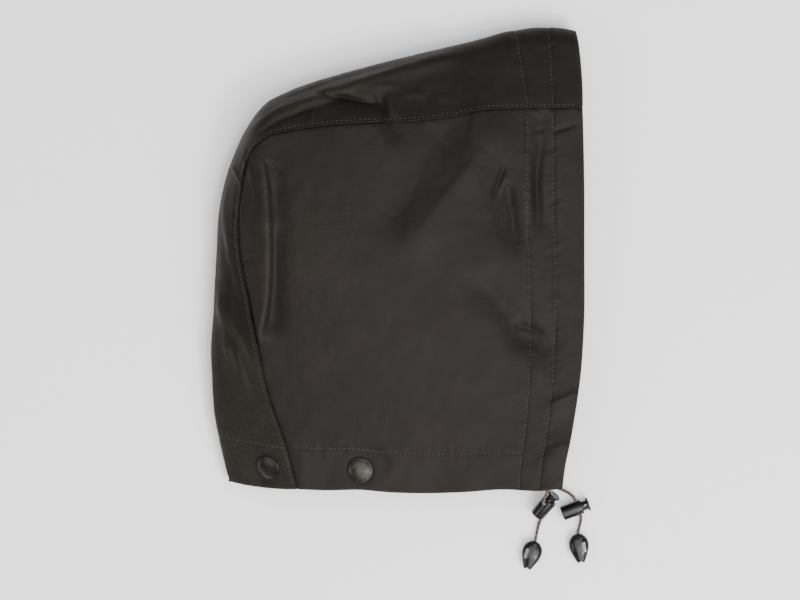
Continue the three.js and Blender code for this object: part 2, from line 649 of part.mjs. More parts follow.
function casingDepth(s) {
  const share = clamp((1 - s) / (1 - tunnel), 0, 1);
  return LAYER + TUNNEL_DEPTH * Math.min(1, share / CORD_FAR, (1 - share) / (1 - CORD_NEAR));
}
const casingRows = [
  ...nearLines.t.map((t) => facingLines.map((s) => skin(NEAR, s, t, casingDepth(s)))),
  ...gussetLines.c.slice(1, -1).map((c) => facingLines.map((s) => skin(GUSSET, onTop(s), c, casingDepth(s)))),
  ...farLines.t.toReversed().map((t) => facingLines.map((s) => skin(FAR, s, t, casingDepth(s)))),
];
add('face_casing', sheet(casingRows, CLOTH), innerCloth);

const hemEnd = facing - (2 * GAP) / bandWidth;
const hemStart = (lines) => [...lines.filter((s) => s < hemEnd - SEAM_GAP / bandWidth), hemEnd];
const nearHemLines = hemStart(nearLines.s).toReversed();
const hemRows = [
  ...nearHemLines.map((s) => hemLines.map((t) => skin(NEAR, s, t, LAYER))),
  ...gussetLines.c.slice(1, -1).map((c) => hemLines.map((t) => skin(GUSSET, t * CORNER, c, LAYER))),
  ...hemStart(farLines.s).map((s) => hemLines.map((t) => skin(FAR, s, t, LAYER))),
];
add('neck_hem', cut(sheet(hemRows, CLOTH, nearHemLines.length - 1), punches([1, 2, 3, 4])), innerCloth);

// Cords, with a step at every point of the route, which lie closer together in the bends
class Route extends THREE.CatmullRomCurve3 {
  getUtoTmapping(u) {
    return u;
  }
}

function tube(points) {
  const path = new Route(points, false, 'centripetal');
  const section = new THREE.Shape(even(0, CORD_SIDES, CORD_SIDES).slice(0, -1).map((i) => {
    const angle = (i / CORD_SIDES) * 2 * Math.PI;
    return new THREE.Vector2(Math.cos(angle), Math.sin(angle)).multiplyScalar(CORD / 2);
  }));
  const options = { steps: points.length - 1, extrudePath: path, bevelEnabled: false };
  return closed(new THREE.ExtrudeGeometry(section, options));
}

const cordDepth = CLOTH / 2 + TUNNEL_CLEARANCE + CORD / 2;
const tunnelRoute = [
  ...nearLines.t.map((t) => skin(NEAR, inTunnel(CORD_NEAR), t, cordDepth)),
  ...gussetLines.c.slice(1, -1).map((c) => (
    skin(GUSSET, onTop(inTunnel(lerp(CORD_NEAR, CORD_FAR, c / 2))), c, cordDepth)
  )),
  ...farLines.t.toReversed().map((t) => skin(FAR, inTunnel(CORD_FAR), t, cordDepth)),
].map(({ point }) => point);
add('drawcord', tube(tunnelRoute), cordYarn);
for (const [name, points] of Object.entries(TAILS)) {
  add(`drawcord_tail_${name}`, tube(points.map((p) => new THREE.Vector3(...p))), cordYarn);
}

// Cord locks: local Y runs from the closed end to the button, local Z is the way of the cord
const CORD_HOLE = CORD / 2 + CORD_HOLE_CLEARANCE;

function barrel() {
  const [r, bore] = [BARREL_RADIUS, STEM_RADIUS + STEM_CLEARANCE];
  const profile = [
    [0, 0], [r - BARREL_EDGE, 0], [r, BARREL_EDGE], [r, BARREL_LENGTH], [bore, BARREL_LENGTH],
    [bore, BARREL_FLOOR], [0, BARREL_FLOOR],
  ];
  const body = new THREE.LatheGeometry(profile.map((p) => new THREE.Vector2(...p)), LATHE_SIDES);
  const hole = new THREE.CylinderGeometry(CORD_HOLE, CORD_HOLE, 3 * r, HOLE_SIDES);
  hole.rotateX(Math.PI / 2).translate(0, CORD_HOLE_HEIGHT, 0);
  return cut(closed(body), [hole]);
}

function plunger() {
  const shoulder = BARREL_LENGTH + NECK;
  const top = shoulder + HEAD_THICKNESS;
  const profile = [
    [0, STEM_BOTTOM], [STEM_RADIUS, STEM_BOTTOM], [STEM_RADIUS, shoulder], [HEAD_RADIUS, shoulder],
    [HEAD_RADIUS, top - HEAD_EDGE], [HEAD_RADIUS - HEAD_EDGE, top], [0, top],
  ];
  const body = new THREE.LatheGeometry(profile.map((p) => new THREE.Vector2(...p)), LATHE_SIDES);
  const slot = new THREE.BoxGeometry(2 * CORD_HOLE, 2 * CORD_HOLE + PUSH, 3 * STEM_RADIUS);
  slot.translate(0, CORD_HOLE_HEIGHT + PUSH / 2, 0);
  const window = new THREE.BoxGeometry(3 * STEM_RADIUS, NECK_WINDOW_HEIGHT, NECK_WINDOW);
  window.translate(0, shoulder - GAP - NECK_WINDOW_HEIGHT / 2, 0);
  return cut(closed(body), [slot, window]);
}

for (const lock of LOCKS) {
  const [heading, pitch, roll] = [lock.heading, lock.pitch, lock.roll].map(degToRad);
  const across = new THREE.Vector3(-Math.sin(heading), Math.cos(heading), 0);
  const axis = new THREE.Vector3(
    Math.cos(heading) * Math.cos(pitch), Math.sin(heading) * Math.cos(pitch), Math.sin(pitch),
  );
  const up = new THREE.Vector3().crossVectors(axis, across);
  const mouth = up.multiplyScalar(Math.cos(roll)).addScaledVector(across, Math.sin(roll));
  const frame = frameAlong(new THREE.Vector3(lock.x, lock.y, lock.z), axis, mouth);
  add(`lock_barrel_${lock.name}`, barrel(), blackPlastic, frame);
  add(`lock_plunger_${lock.name}`, plunger(), blackPlastic, frame);
}

// Cord ends: local Y runs from mouth to tip, local X across, local Z up
function cordEnd(slotSide) {
  const rings = END_STATIONS.map((station) => even(0, RING_SIDES, RING_SIDES).slice(0, -1).map((i) => {
    const angle = (i / RING_SIDES) * 2 * Math.PI;
    return [
      (station.width * END_WIDTH * Math.cos(angle)) / 2,
      station.along * END_LENGTH,
      (station.thickness * END_THICKNESS * Math.sin(angle)) / 2,
    ];
  }));
  const positions = [...rings.flat(), [0, 0, 0], [0, END_LENGTH, 0]].flat();
  const [mouth, tip] = [rings.length * RING_SIDES, rings.length * RING_SIDES + 1];
  const faces = [];
  for (let i = 0; i < RING_SIDES; i++) {
    const next = (i + 1) % RING_SIDES;
    faces.push(mouth, i, next, tip, mouth - RING_SIDES + next, mouth - RING_SIDES + i);
    for (let k = 0; k + 1 < rings.length; k++) {
      const [a, b] = [k * RING_SIDES + i, k * RING_SIDES + next];
      faces.push(a, a + RING_SIDES, b, b, a + RING_SIDES, b + RING_SIDES);
    }
  }
  const body = new THREE.BufferGeometry();
  body.setAttribute('position', new THREE.Float32BufferAttribute(positions, 3));
  body.setIndex(faces);
  const hole = new THREE.CylinderGeometry(CORD_HOLE, CORD_HOLE, 2 * END_HOLE_DEPTH, HOLE_SIDES);
  const slotShape = new THREE.Shape();
  const [r, reach] = [END_SLOT_WIDTH / 2, (END_SLOT_LENGTH - END_SLOT_WIDTH) / 2];
  slotShape.absarc(0, reach, r, 0, Math.PI);
  slotShape.absarc(0, -reach, r, Math.PI, 2 * Math.PI);
  const options = { depth: 2 * END_THICKNESS, bevelEnabled: false, curveSegments: HOLE_SIDES / 2 };
  const slot = new THREE.ExtrudeGeometry(slotShape, options);
  slot.translate(slotSide * END_SLOT_ASIDE, END_SLOT_ALONG, -END_THICKNESS);
  return cut(closed(body), [hole, slot]);
}

for (const end of ENDS) {
  const heading = degToRad(end.heading);
  const along = new THREE.Vector3(Math.cos(heading), Math.sin(heading), 0);
  const mouth = new THREE.Vector3(end.x, end.y, END_THICKNESS / 2);
  const frame = frameAlong(mouth, along, new THREE.Vector3(0, 0, 1));
  add(`cord_end_${end.name}`, cordEnd(end.slotSide), blackPlastic, frame);
}

export default hood;
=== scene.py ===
"""A detachable storm hood of waxed cotton, lying on its side on a pale floor, seen from straight above."""
import math

import bmesh
import bpy
import numpy as np
from mathutils import Matrix, Vector


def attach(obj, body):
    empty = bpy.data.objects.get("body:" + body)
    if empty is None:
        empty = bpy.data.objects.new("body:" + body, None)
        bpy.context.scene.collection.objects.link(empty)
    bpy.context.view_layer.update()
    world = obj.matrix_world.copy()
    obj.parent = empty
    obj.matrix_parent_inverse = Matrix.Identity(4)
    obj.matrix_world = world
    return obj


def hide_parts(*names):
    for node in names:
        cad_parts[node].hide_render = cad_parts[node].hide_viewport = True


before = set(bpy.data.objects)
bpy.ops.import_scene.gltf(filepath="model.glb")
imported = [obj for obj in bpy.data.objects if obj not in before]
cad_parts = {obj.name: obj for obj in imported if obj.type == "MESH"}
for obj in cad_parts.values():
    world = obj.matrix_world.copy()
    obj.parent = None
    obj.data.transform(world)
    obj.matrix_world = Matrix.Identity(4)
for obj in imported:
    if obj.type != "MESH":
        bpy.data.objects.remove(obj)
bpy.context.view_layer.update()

# Sizes of the cloth, in millimetres, as in the CAD model
MM = 0.001
DEPTH = 261
HEIGHT = 326
CLOTH = 1.2
GAP = 0.3
RISE_NAPE = 24
RISE_CHIN = 22
RISE_CROWN = 40
RISE_BROW = 32
BELLY = 12
FOLD_LINE_HEIGHT = 14
GUSSET_FALL = 10
ROLL = 12
CURL = 16
FOLD_RISE = 5
FOLD_WIDTH = 14
TUNNEL = 20.6
FACING = 38
HEM_FRONT = 24.5
PANEL_HEIGHT = HEIGHT * 0.8
FLAT = CLOTH / 2
LAYER = CLOTH + GAP

# Drawcord
CORD = 2.2
CORD_NEAR = 0.65
CORD_FAR = 0.35
BRAID_PITCH = 3.4
TUNNEL_CLEARANCE = 0.5
TUNNEL_DEPTH = CORD + 2 * TUNNEL_CLEARANCE - GAP

# Snaps
CAP_DIAMETER = 17.5
CAP_HEIGHT = 2.2
SHANK_RADIUS = 2.2
SOCKET_RADIUS = 6.2
SOCKET_HEIGHT = 3.4
SOCKET_BORE = 3.9
SOCKET_PLATE = 0.9
SNAP_FROM_HEM = 0.49
SNAP_FROM_SEAM_GUSSET = 16.5
SNAP_FROM_SEAM_PANEL = 47.5
SEAT_MARGIN = 1.75
SEAT_FADE = 12
FLOOR_SEAT_FADE = 26
SNAP_TILT = 35
SNAP_TILT_HEADING = 220
SEAT_BEND = 12.5
SEAT_REACH = 46
STACK = 2 * CLOTH + 3 * GAP

# Cord locks
BARREL_RADIUS = 5.2
BARREL_LENGTH = 15
BARREL_FLOOR = 2.6
STEM_RADIUS = 3.4
STEM_CLEARANCE = 0.3
STEM_BOTTOM = 6
PUSH = 2.2
NECK = 3.8
HEAD_RADIUS = 4.8
HEAD_THICKNESS = 1.4
BARREL_DRAFT = 0.15
CORD_HOLE_HEIGHT = 12
CORD_HOLE = CORD / 2 + 0.5
NECK_WINDOW = 3.4
NECK_WINDOW_HEIGHT = 1.9

# Cord ends
END_LENGTH = 19.4
END_WIDTH = 14
END_THICKNESS = 8.6
END_HOLE_DEPTH = 6.4
END_SLOT_WIDTH = 2.6
END_SLOT_LENGTH = 7.6
END_SLOT_ALONG = 9.6
END_SLOT_ASIDE = 3.4
END_SQUARENESS = 2 / 2.5
NUB_ASIDE = 1.75
NUB_PROFILE = [(0, -1.1), (0.8, -0.9), (1.05, 0), (0.8, 0.75), (0.4, 0.95), (0, 1.0)]

# Creases: how much the table is raised by, and how wide a ridge may be to be painted paler, partly as
# rubbed wax and partly as painted highlight
CREASE_SCALE = 1.35
SHARP = 3.2

# Fine relief of the cloth, in millimetres, and the share of the panel's height where its top seam puckers
BROAD_RISE = 4.5
BAND_PUFF = 0.45
TUNNEL_PUFF = 0.6
BAND_RIPPLE = 0.22
HEM_RIPPLE = 0.16
PANEL_SEAM_RIPPLE = 0.22
GUSSET_SEAM_RIPPLE = 0.2
PUCKER_REACH = 5.0
PUCKER_FROM = 0.93
PANEL_SWELL = 0.32
PANEL_RUMPLE = 0.1
GUSSET_SWELL = 0.34
GUSSET_RUMPLE = 0.12
FAR_SWELL = 0.25
FAR_RUMPLE = 0.05
FAR_PUFF = 0.45
CAP_DIMPLE = 0.55
SEAM_DIP = 1.15
EDGE_MARGIN = 0.9

# Stitching
PITCH = 3.3
STITCH = 2.1
THREAD = 0.5
SEAM_STITCH = 2.2

# Grids of the visible cloth
CELL = 1.3
INNER_CELL = 2.0
FAR_CELL = 2.6


def table(columns, rows):
    return [dict(zip(columns, row)) for row in rows]


# Sections across the gusset from nape to brow, as shares of the hood's depth and height
SECTIONS = table(
    ["fold_across", "fold_up", "fold_height", "seam_across", "seam_up", "far_across", "far_up", "bow"],
    [
        (0.048, 0.0225, 0.6, 0.23, 0.0086, 0.262, 0.024, -0.0055),
        (0.0195, 0.121, 0.8, 0.203, 0.098, 0.236, 0.114, 0),
        (0.003, 0.24, 1.0, 0.146, 0.24, 0.203, 0.25, 0),
        (0.001, 0.308, 1.0, 0.13, 0.312, 0.196, 0.32, 0),
        (0.008, 0.415, 1.05, 0.106, 0.415, 0.197, 0.415, 0),
        (0.015, 0.5225, 1.1, 0.08, 0.52, 0.203, 0.505, 0),
        (0.024, 0.619, 1.15, 0.0775, 0.605, 0.215, 0.575, 0),
        (0.054, 0.707, 1.2, 0.092, 0.68, 0.24, 0.635, 0),
        (0.096, 0.784, 1.2, 0.1125, 0.733, 0.275, 0.678, 0),
        (0.145, 0.834, 1.2, 0.15, 0.761, 0.32, 0.706, 0),
        (0.211, 0.864, 1.15, 0.211, 0.7745, 0.372, 0.722, 0),
        (0.305, 0.8895, 1.1, 0.305, 0.7855, 0.435, 0.737, 0),
        (0.434, 0.9195, 1.05, 0.434, 0.7925, 0.525, 0.752, 0),
        (0.6265, 0.956, 1.0, 0.6265, 0.805, 0.668, 0.776, 0),
        (0.723, 0.976, 1.0, 0.735, 0.821, 0.75, 0.79, 0),
        (0.822, 0.995, 1.0, 0.852, 0.825, 0.845, 0.803, 0),
        (0.908, 1.0, 1.0, 0.917, 0.825, 0.915, 0.81, 0),
        (0.98, 0.9925, 1.0, 0.9946, 0.827, 0.985, 0.815, 0.005),
    ],
)
HEM_SECTION = 1
CORNER_SECTION = 8

# Edges of the side panels, as (across, up) shares
NEAR_HEM = [
    (0.23, 0.0086), (0.3186, 0.0064), (0.4016, 0.0075), (0.466, 0.0026), (0.578, 0),
    (0.691, 0.0032), (0.774, 0.008), (0.881, 0.0054), (0.942, 0.0097),
]
NEAR_FACE = [
    (0.942, 0.0097), (0.9505, 0.063), (0.964, 0.115), (0.98, 0.192), (0.989, 0.2436),
    (0.9987, 0.351), (1.0, 0.5225), (0.9987, 0.707), (0.9946, 0.827),
]
FAR_HEM = [(0.262, 0.024), (0.4, 0.022), (0.58, 0.02), (0.76, 0.026), (0.936, 0.03)]
FAR_FACE = [
    (0.936, 0.03), (0.952, 0.1), (0.972, 0.21), (0.984, 0.34), (0.988, 0.52), (0.987, 0.7), (0.985, 0.815),
]

# Large folds and dents, the same ones as in the CAD model: rise and width are shares of FOLD_RISE and
# FOLD_WIDTH
FOLDS = table(
    ["from_across", "from_up", "to_across", "to_up", "rise", "width"],
    [
        (0.11, 0.778, 0.292, 0.844, 0.5, 0.5),
        (0.292, 0.844, 0.629, 0.941, 0.5, 0.5),
        (0.292, 0.851, 0.442, 0.834, -0.5, 0.5),
        (0.455, 0.84, 0.49, 0.769, -0.35, 0.45),
        (0.021, 0.402, 0.1125, 0.263, 0.4, 0.5),
        (0.048, 0.306, 0.11, 0.153, 0.35, 0.5),
        (0.126, 0.722, 0.154, 0.583, 0.5, 0.5),
        (0.154, 0.583, 0.134, 0.3465, 0.5, 0.5),
        (0.177, 0.65, 0.172, 0.37, -0.35, 0.5),
        (0.739, 0.754, 0.5515, 0.5655, 0.9, 1.2),
        (0.613, 0.737, 0.493, 0.598, -0.7, 1.2),
        (0.779, 0.638, 0.811, 0.542, -0.5, 0.6),
        (0.878, 0.797, 0.889, 0.583, -0.4, 0.5),
        (0.731, 0.437, 0.843, 0.34, -0.5, 0.8),
        (0.843, 0.34, 0.889, 0.319, -0.5, 0.8),
        (0.913, 0.181, 0.975, 0.2006, 0.35, 0.5),
        (0.8996, 0.0697, 0.948, 0.0976, 0.35, 0.5),
    ],
)

# Sharp creases and small ridges on top of them: a line of (across, up) shares, the rise in millimetres
# (negative is a crease) and how many millimetres it spreads to the left and to the right of the line
CREASES = table(
    ["line", "rise", "left", "right"],
    [
        ([(0.11, 0.778), (0.187, 0.819), (0.292, 0.847), (0.455, 0.896), (0.629, 0.941)], 0.9, 2, 3),
        ([(0.125, 0.768), (0.195, 0.804), (0.292, 0.832), (0.4, 0.866)], -1.2, 1.3, 4),
        ([(0.206, 0.802), (0.241, 0.817), (0.273, 0.832)], -0.5, 1.1, 1.1),
        ([(0.12, 0.845), (0.25, 0.885), (0.45, 0.935), (0.66, 0.972)], 0.6, 1.4, 2.2),
        ([(0.15, 0.832), (0.3, 0.874), (0.48, 0.921)], -0.6, 1.6, 2.4),
        ([(0.015, 0.45), (0.045, 0.33), (0.075, 0.2)], 0.5, 2, 3),
        ([(0.035, 0.56), (0.055, 0.47), (0.082, 0.38)], -0.7, 2, 3),
        ([(0.03, 0.64), (0.048, 0.55), (0.05, 0.46)], 0.7, 2, 2.6),
        ([(0.865, 0.735), (0.869, 0.64), (0.868, 0.545)], -0.9, 2.2, 3),
        ([(0.842, 0.74), (0.838, 0.66), (0.846, 0.57)], 0.5, 2, 2),
        ([(0.286, 0.85), (0.319, 0.852), (0.359, 0.847), (0.404, 0.838), (0.444, 0.833)], -1.7, 1.2, 1.6),
        ([(0.297, 0.859), (0.359, 0.857), (0.439, 0.842)], 0.9, 3, 1.3),
        ([(0.455, 0.842), (0.463, 0.821), (0.471, 0.799), (0.49, 0.769)], -1.2, 1.3, 1.3),
        ([(0.469, 0.849), (0.479, 0.823), (0.495, 0.789)], 0.7, 2.5, 1.2),
        ([(0.426, 0.864), (0.463, 0.872), (0.509, 0.87)], 0.5, 1.8, 1.8),
        ([(0.511, 0.849), (0.544, 0.855), (0.576, 0.851)], 0.5, 2, 2),
        ([(0.68, 0.922), (0.704, 0.905), (0.726, 0.885)], 0.4, 1.5, 1.5),
        ([(0.6, 0.849), (0.632, 0.847), (0.661, 0.838)], 0.4, 2, 2),
        ([(0.276, 0.823), (0.273, 0.808), (0.27, 0.791)], 0.4, 1.3, 1.3),
        ([(0.019, 0.409), (0.046, 0.372), (0.075, 0.334), (0.112, 0.263)], 1, 1.6, 3),
        ([(0.037, 0.33), (0.056, 0.295), (0.076, 0.258)], 0.6, 1.5, 1.8),
        ([(0.072, 0.311), (0.086, 0.269), (0.1, 0.226)], 0.8, 1.5, 2),
        ([(0.08, 0.19), (0.088, 0.171), (0.098, 0.147)], 0.5, 1.4, 1.6),
        ([(0.104, 0.183), (0.123, 0.173), (0.142, 0.158)], 0.5, 4, 4),
        ([(0.123, 0.72), (0.137, 0.703), (0.147, 0.673), (0.154, 0.583), (0.157, 0.499),
          (0.154, 0.43), (0.145, 0.383), (0.134, 0.347), (0.131, 0.317)], 1.7, 1.3, 2.2),
        ([(0.137, 0.69), (0.145, 0.651), (0.147, 0.583),
          (0.149, 0.499), (0.145, 0.43), (0.137, 0.383)], -0.45, 1, 1),
        ([(0.157, 0.7), (0.165, 0.583), (0.168, 0.499),
          (0.164, 0.43), (0.156, 0.383), (0.144, 0.34)], -2.4, 8, 1.7),
        ([(0.14, 0.69), (0.148, 0.583), (0.151, 0.499), (0.148, 0.43), (0.134, 0.35)], 2.2, 3, 9),
        ([(0.103, 0.744), (0.108, 0.692), (0.12, 0.651), (0.135, 0.611)], -1, 1.8, 1.8),
        ([(0.147, 0.72), (0.166, 0.711), (0.187, 0.696)], 0.5, 1.5, 1.5),
        ([(0.145, 0.709), (0.166, 0.701), (0.19, 0.683)], -0.8, 1.8, 1.8),
        ([(0.056, 0.709), (0.072, 0.688), (0.087, 0.662)], 0.9, 1.3, 1.3),
        ([(0.047, 0.666), (0.027, 0.598), (0.012, 0.52)], 0.5, 1.5, 1.5),
        ([(0.088, 0.63), (0.086, 0.604), (0.088, 0.576)], -0.6, 1.3, 1.3),
        ([(0.086, 0.497), (0.099, 0.501), (0.118, 0.505)], -0.8, 2, 2),
        ([(0.728, 0.737), (0.667, 0.677), (0.608, 0.619), (0.554, 0.561)], 0.9, 9, 3.5),
        ([(0.45, 0.8), (0.56, 0.82), (0.7, 0.8)], -2.4, 22, 22),
        ([(0.73, 0.75), (0.56, 0.57)], -1, 13, 13),
        ([(0.62, 0.745), (0.49, 0.59)], 1.3, 13, 13),
        ([(0.786, 0.709), (0.771, 0.673), (0.752, 0.636)], -1.3, 1.7, 1.7),
        ([(0.793, 0.686), (0.776, 0.651), (0.758, 0.617)], 0.7, 2, 2),
        ([(0.795, 0.664), (0.801, 0.623), (0.809, 0.578), (0.817, 0.533)], -1.4, 3, 3),
        ([(0.884, 0.759), (0.876, 0.716), (0.871, 0.673), (0.874, 0.619), (0.877, 0.57)], -1.2, 2.6, 2.6),
        ([(0.894, 0.737), (0.893, 0.651), (0.894, 0.555)], 0.5, 1.6, 1.6),
        ([(0.91, 0.776), (0.942, 0.782), (0.98, 0.793)], -1.3, 1.7, 1.7),
        ([(0.857, 0.776), (0.873, 0.778), (0.889, 0.78)], -0.7, 1.5, 1.5),
        ([(0.953, 0.69), (0.956, 0.634), (0.953, 0.574)], -0.4, 3, 3),
        ([(0.814, 0.362), (0.849, 0.355), (0.889, 0.344)], -1.2, 2, 2),
        ([(0.747, 0.45), (0.776, 0.415), (0.809, 0.381)], -0.8, 6, 6),
        ([(0.91, 0.192), (0.948, 0.205), (0.985, 0.218)], 0.7, 1.4, 1.4),
        ([(0.9, 0.093), (0.924, 0.098), (0.95, 0.104)], 0.4, 1.4, 1.4),
        ([(0.918, 0.016), (0.932, 0.027), (0.945, 0.04)], 0.4, 1.4, 1.4),
    ],
)

# Outline of a cord end from mouth to tip, as shares of its length, width and thickness
END_STATIONS = [
    (0, 0.4, 0.55), (0.06, 0.6, 0.74), (0.16, 0.84, 0.92), (0.3, 0.98, 1), (0.42, 1, 1),
    (0.6, 0.9, 0.94), (0.78, 0.7, 0.78), (0.92, 0.52, 0.6), (1, 0.43, 0.5),
]

# Where the cord locks and cord ends lie, in millimetres and degrees
LOCKS = table(
    ["name", "x", "y", "z", "heading", "pitch", "roll"],
    [("near", 97.9, -179.3, 7.5, 51, 18, 18), ("far", 115.7, -178.2, BARREL_RADIUS, 20.3, 0, 75)],
)
ENDS = table(
    ["name", "x", "y", "heading", "slot_side"],
    [("near", 96.8, -197.8, 253.3, 1), ("far", 126.6, -192.6, 277.5, -1)],
)

# Routes of the two free cord ends, in millimetres
TAILS = {
    "near": [
        (104.6, -161.1, 20.2), (104.2, -162.8, 20.6), (103.6, -164.5, 20.9), (102.95, -166.05, 20.95),
        (102.45, -167.2, 20.7), (102.15, -168.3, 20.15), (102.0, -169.3, 19.3), (102.1, -170.05, 18.25),
        (102.4, -170.5, 17.1), (102.87, -170.6, 15.9), (105.08, -170.43, 11.2), (107.3, -170.25, 6.5),
        (107.7, -170.35, 5.45), (108.0, -170.7, 4.4), (108.15, -171.25, 3.45), (108.1, -172.0, 2.65),
        (107.9, -172.95, 2.0), (107.5, -173.95, 1.6), (106.9, -175.0, 1.4), (105.6, -176.8, 1.3),
        (103.8, -178.8, 1.25), (102.0, -180.9, 1.25), (100.5, -183.3, 1.3), (99.4, -186.2, 1.6),
        (98.6, -189.3, 2.3), (97.9, -192.5, 3.3), (97.2, -195.5, 4.0), (96.5, -198.6, 4.3),
        (95.2, -203.1, 4.3),
    ],
    "far": [
        (108.2, -153.8, 2.8), (108.05, -155.2, 2.75), (108.25, -156.6, 2.65), (108.9, -157.85, 2.6),
        (109.95, -158.85, 2.55), (111.2, -159.6, 2.5), (112.6, -160.15, 2.5), (114.3, -160.8, 2.6),
        (116.3, -161.6, 3.0), (118.5, -162.6, 3.9), (120.5, -163.7, 5.0), (122.3, -165.0, 6.0),
        (123.7, -166.4, 6.65), (124.6, -167.85, 6.8), (125.21, -169.33, 6.55), (126.95, -174.04, 5.2),
        (128.7, -178.75, 3.85), (129.1, -180.2, 3.4), (129.2, -181.8, 3.0), (129.0, -183.6, 2.75),
        (128.5, -185.6, 2.75), (127.9, -187.8, 3.1), (127.3, -190.0, 3.7), (126.9, -192.0, 4.15),
        (126.8, -193.9, 4.3), (127.3, -198.2, 4.3),
    ],
}


# Plan curves
def lerp(a, b, f):
    return a + (b - a) * f


def smoothstep(x, low, high):
    f = np.clip((x - low) / (high - low), 0, 1)
    return f * f * (3 - 2 * f)


def bell(distance, width):
    """1 at no distance, and a third of that at one width."""
    return np.exp(-((distance / width) ** 2))


def both(a, b):
    """Two arrays of numbers brought to one shape."""
    return np.broadcast_arrays(np.asarray(a, float), np.asarray(b, float))


def from_place(x, y, place):
    return np.hypot(x - place[0], y - place[1])


def plan(across, up):
    return np.stack([(np.asarray(across) - 0.5) * DEPTH, (np.asarray(up) - 0.5) * HEIGHT], -1)


def steps_along(points):
    return np.linalg.norm(np.diff(points, axis=0), axis=1)


def lengths_along(points):
    """Length of a line up to each of its points."""
    return np.concatenate([[0], np.cumsum(steps_along(points))])


def share_knots(points):
    lengths = lengths_along(points)
    return lengths / lengths[-1]


class Curve:
    """Smooth curve through rows of numbers, one row at each knot."""

    def __init__(self, rows, knots):
        self.rows = np.asarray(rows, float)
        self.knots = np.asarray(knots, float)
        steps = np.diff(self.knots)[:, None]
        slopes = np.diff(self.rows, axis=0) / steps
        before, after = steps[:-1], steps[1:]
        middle = (slopes[1:] * before + slopes[:-1] * after) / (before + after)
        self.tangents = np.concatenate([slopes[:1], middle, slopes[-1:]])

    def __call__(self, q):
        q = np.asarray(q, float)
        i = np.searchsorted(self.knots[1:-1], q, side="left")
        span = self.knots[i + 1] - self.knots[i]
        f = ((q - self.knots[i]) / span)[..., None]
        span = span[..., None]
        f2, f3 = f * f, f * f * f
        return (
            (2 * f3 - 3 * f2 + 1) * self.rows[i]
            + (f3 - 2 * f2 + f) * span * self.tangents[i]
            + (3 * f2 - 2 * f3) * self.rows[i + 1]
            + (f3 - f2) * span * self.tangents[i + 1]
        )


def section_points(across, up):
    return np.array([plan(row[across], row[up]) for row in SECTIONS])


def edge_curve(rows):
    points = np.array([plan(across, up) for across, up in rows])
    return Curve(points, share_knots(points))


seam_points = section_points("seam_across", "seam_up")
knots = share_knots(seam_points)
near_seam = Curve(seam_points, knots)
far_seam = Curve(section_points("far_across", "far_up"), knots)
fold_line = Curve(section_points("fold_across", "fold_up"), knots)
fold_shape = Curve([(row["fold_height"] * FOLD_LINE_HEIGHT, row["bow"] * DEPTH) for row in SECTIONS], knots)
CORNER = knots[CORNER_SECTION]
HEM = knots[HEM_SECTION] / CORNER


class Panel:
    """Side panel in plan: s runs from the seam to the face edge, t from the hem to the crown."""

    def __init__(self, hem, face, seam):
        self.hem, self.face, self.seam = hem, face, seam
        self.hem_front = HEM_FRONT / steps_along(face(np.linspace(0, 1, 41))).sum()

    def __call__(self, s, t):
        s, t = both(s, t)
        hem_here = lerp(HEM, self.hem_front, s)
        up = np.where(t < HEM, t / HEM * hem_here, lerp(hem_here, 1, (t - HEM) / (1 - HEM)))
        back, face = self.seam(CORNER * up), self.face(up)
        low, top = self.hem(s), self.seam(lerp(CORNER, 1, s))
        s, up = s[..., None], up[..., None]
        lower = lerp(self.hem(0.0), self.hem(1.0), s)
        upper = lerp(self.seam(CORNER), self.seam(1.0), s)
        return lerp(back, face, s) + lerp(low, top, up) - lerp(lower, upper, up)


near_plan = Panel(edge_curve(NEAR_HEM), edge_curve(NEAR_FACE), near_seam)
far_plan = Panel(edge_curve(FAR_HEM), edge_curve(FAR_FACE), far_seam)


# Heights of the upper layer
def fold_rise(x, y):
    rise = np.zeros_like(x)
    for fold in FOLDS:
        ax, ay = plan(fold["from_across"], fold["from_up"])
        bx, by = plan(fold["to_across"], fold["to_up"])
        dx, dy = bx - ax, by - ay
        f = np.clip(((x - ax) * dx + (y - ay) * dy) / (dx * dx + dy * dy), 0, 1)
        distance = np.hypot(x - ax - f * dx, y - ay - f * dy)
        rise += fold["rise"] * FOLD_RISE * bell(distance, fold["width"] * FOLD_WIDTH)
    return rise


def loft(x, y):
    """Height of the upper layer over a place: four corners, a belly between them and the large folds."""
    across = np.clip(x / DEPTH + 0.5, 0, 1)
    up = np.clip(y / HEIGHT + 0.5, 0, 1)
    corners = lerp(lerp(RISE_NAPE, RISE_CHIN, across), lerp(RISE_CROWN, RISE_BROW, across), up)
    return corners + BELLY * np.sin(np.pi * across) * np.sin(np.pi * up) + fold_rise(x, y)


def near_raw(s, t):
    xy = near_plan(s, t)
    return np.concatenate([xy, loft(xy[..., 0], xy[..., 1])[..., None]], -1)


def far_raw(s, t):
    xy = far_plan(s, t)
    return np.concatenate([xy, np.full(xy.shape[:-1] + (1,), FLAT)], -1)


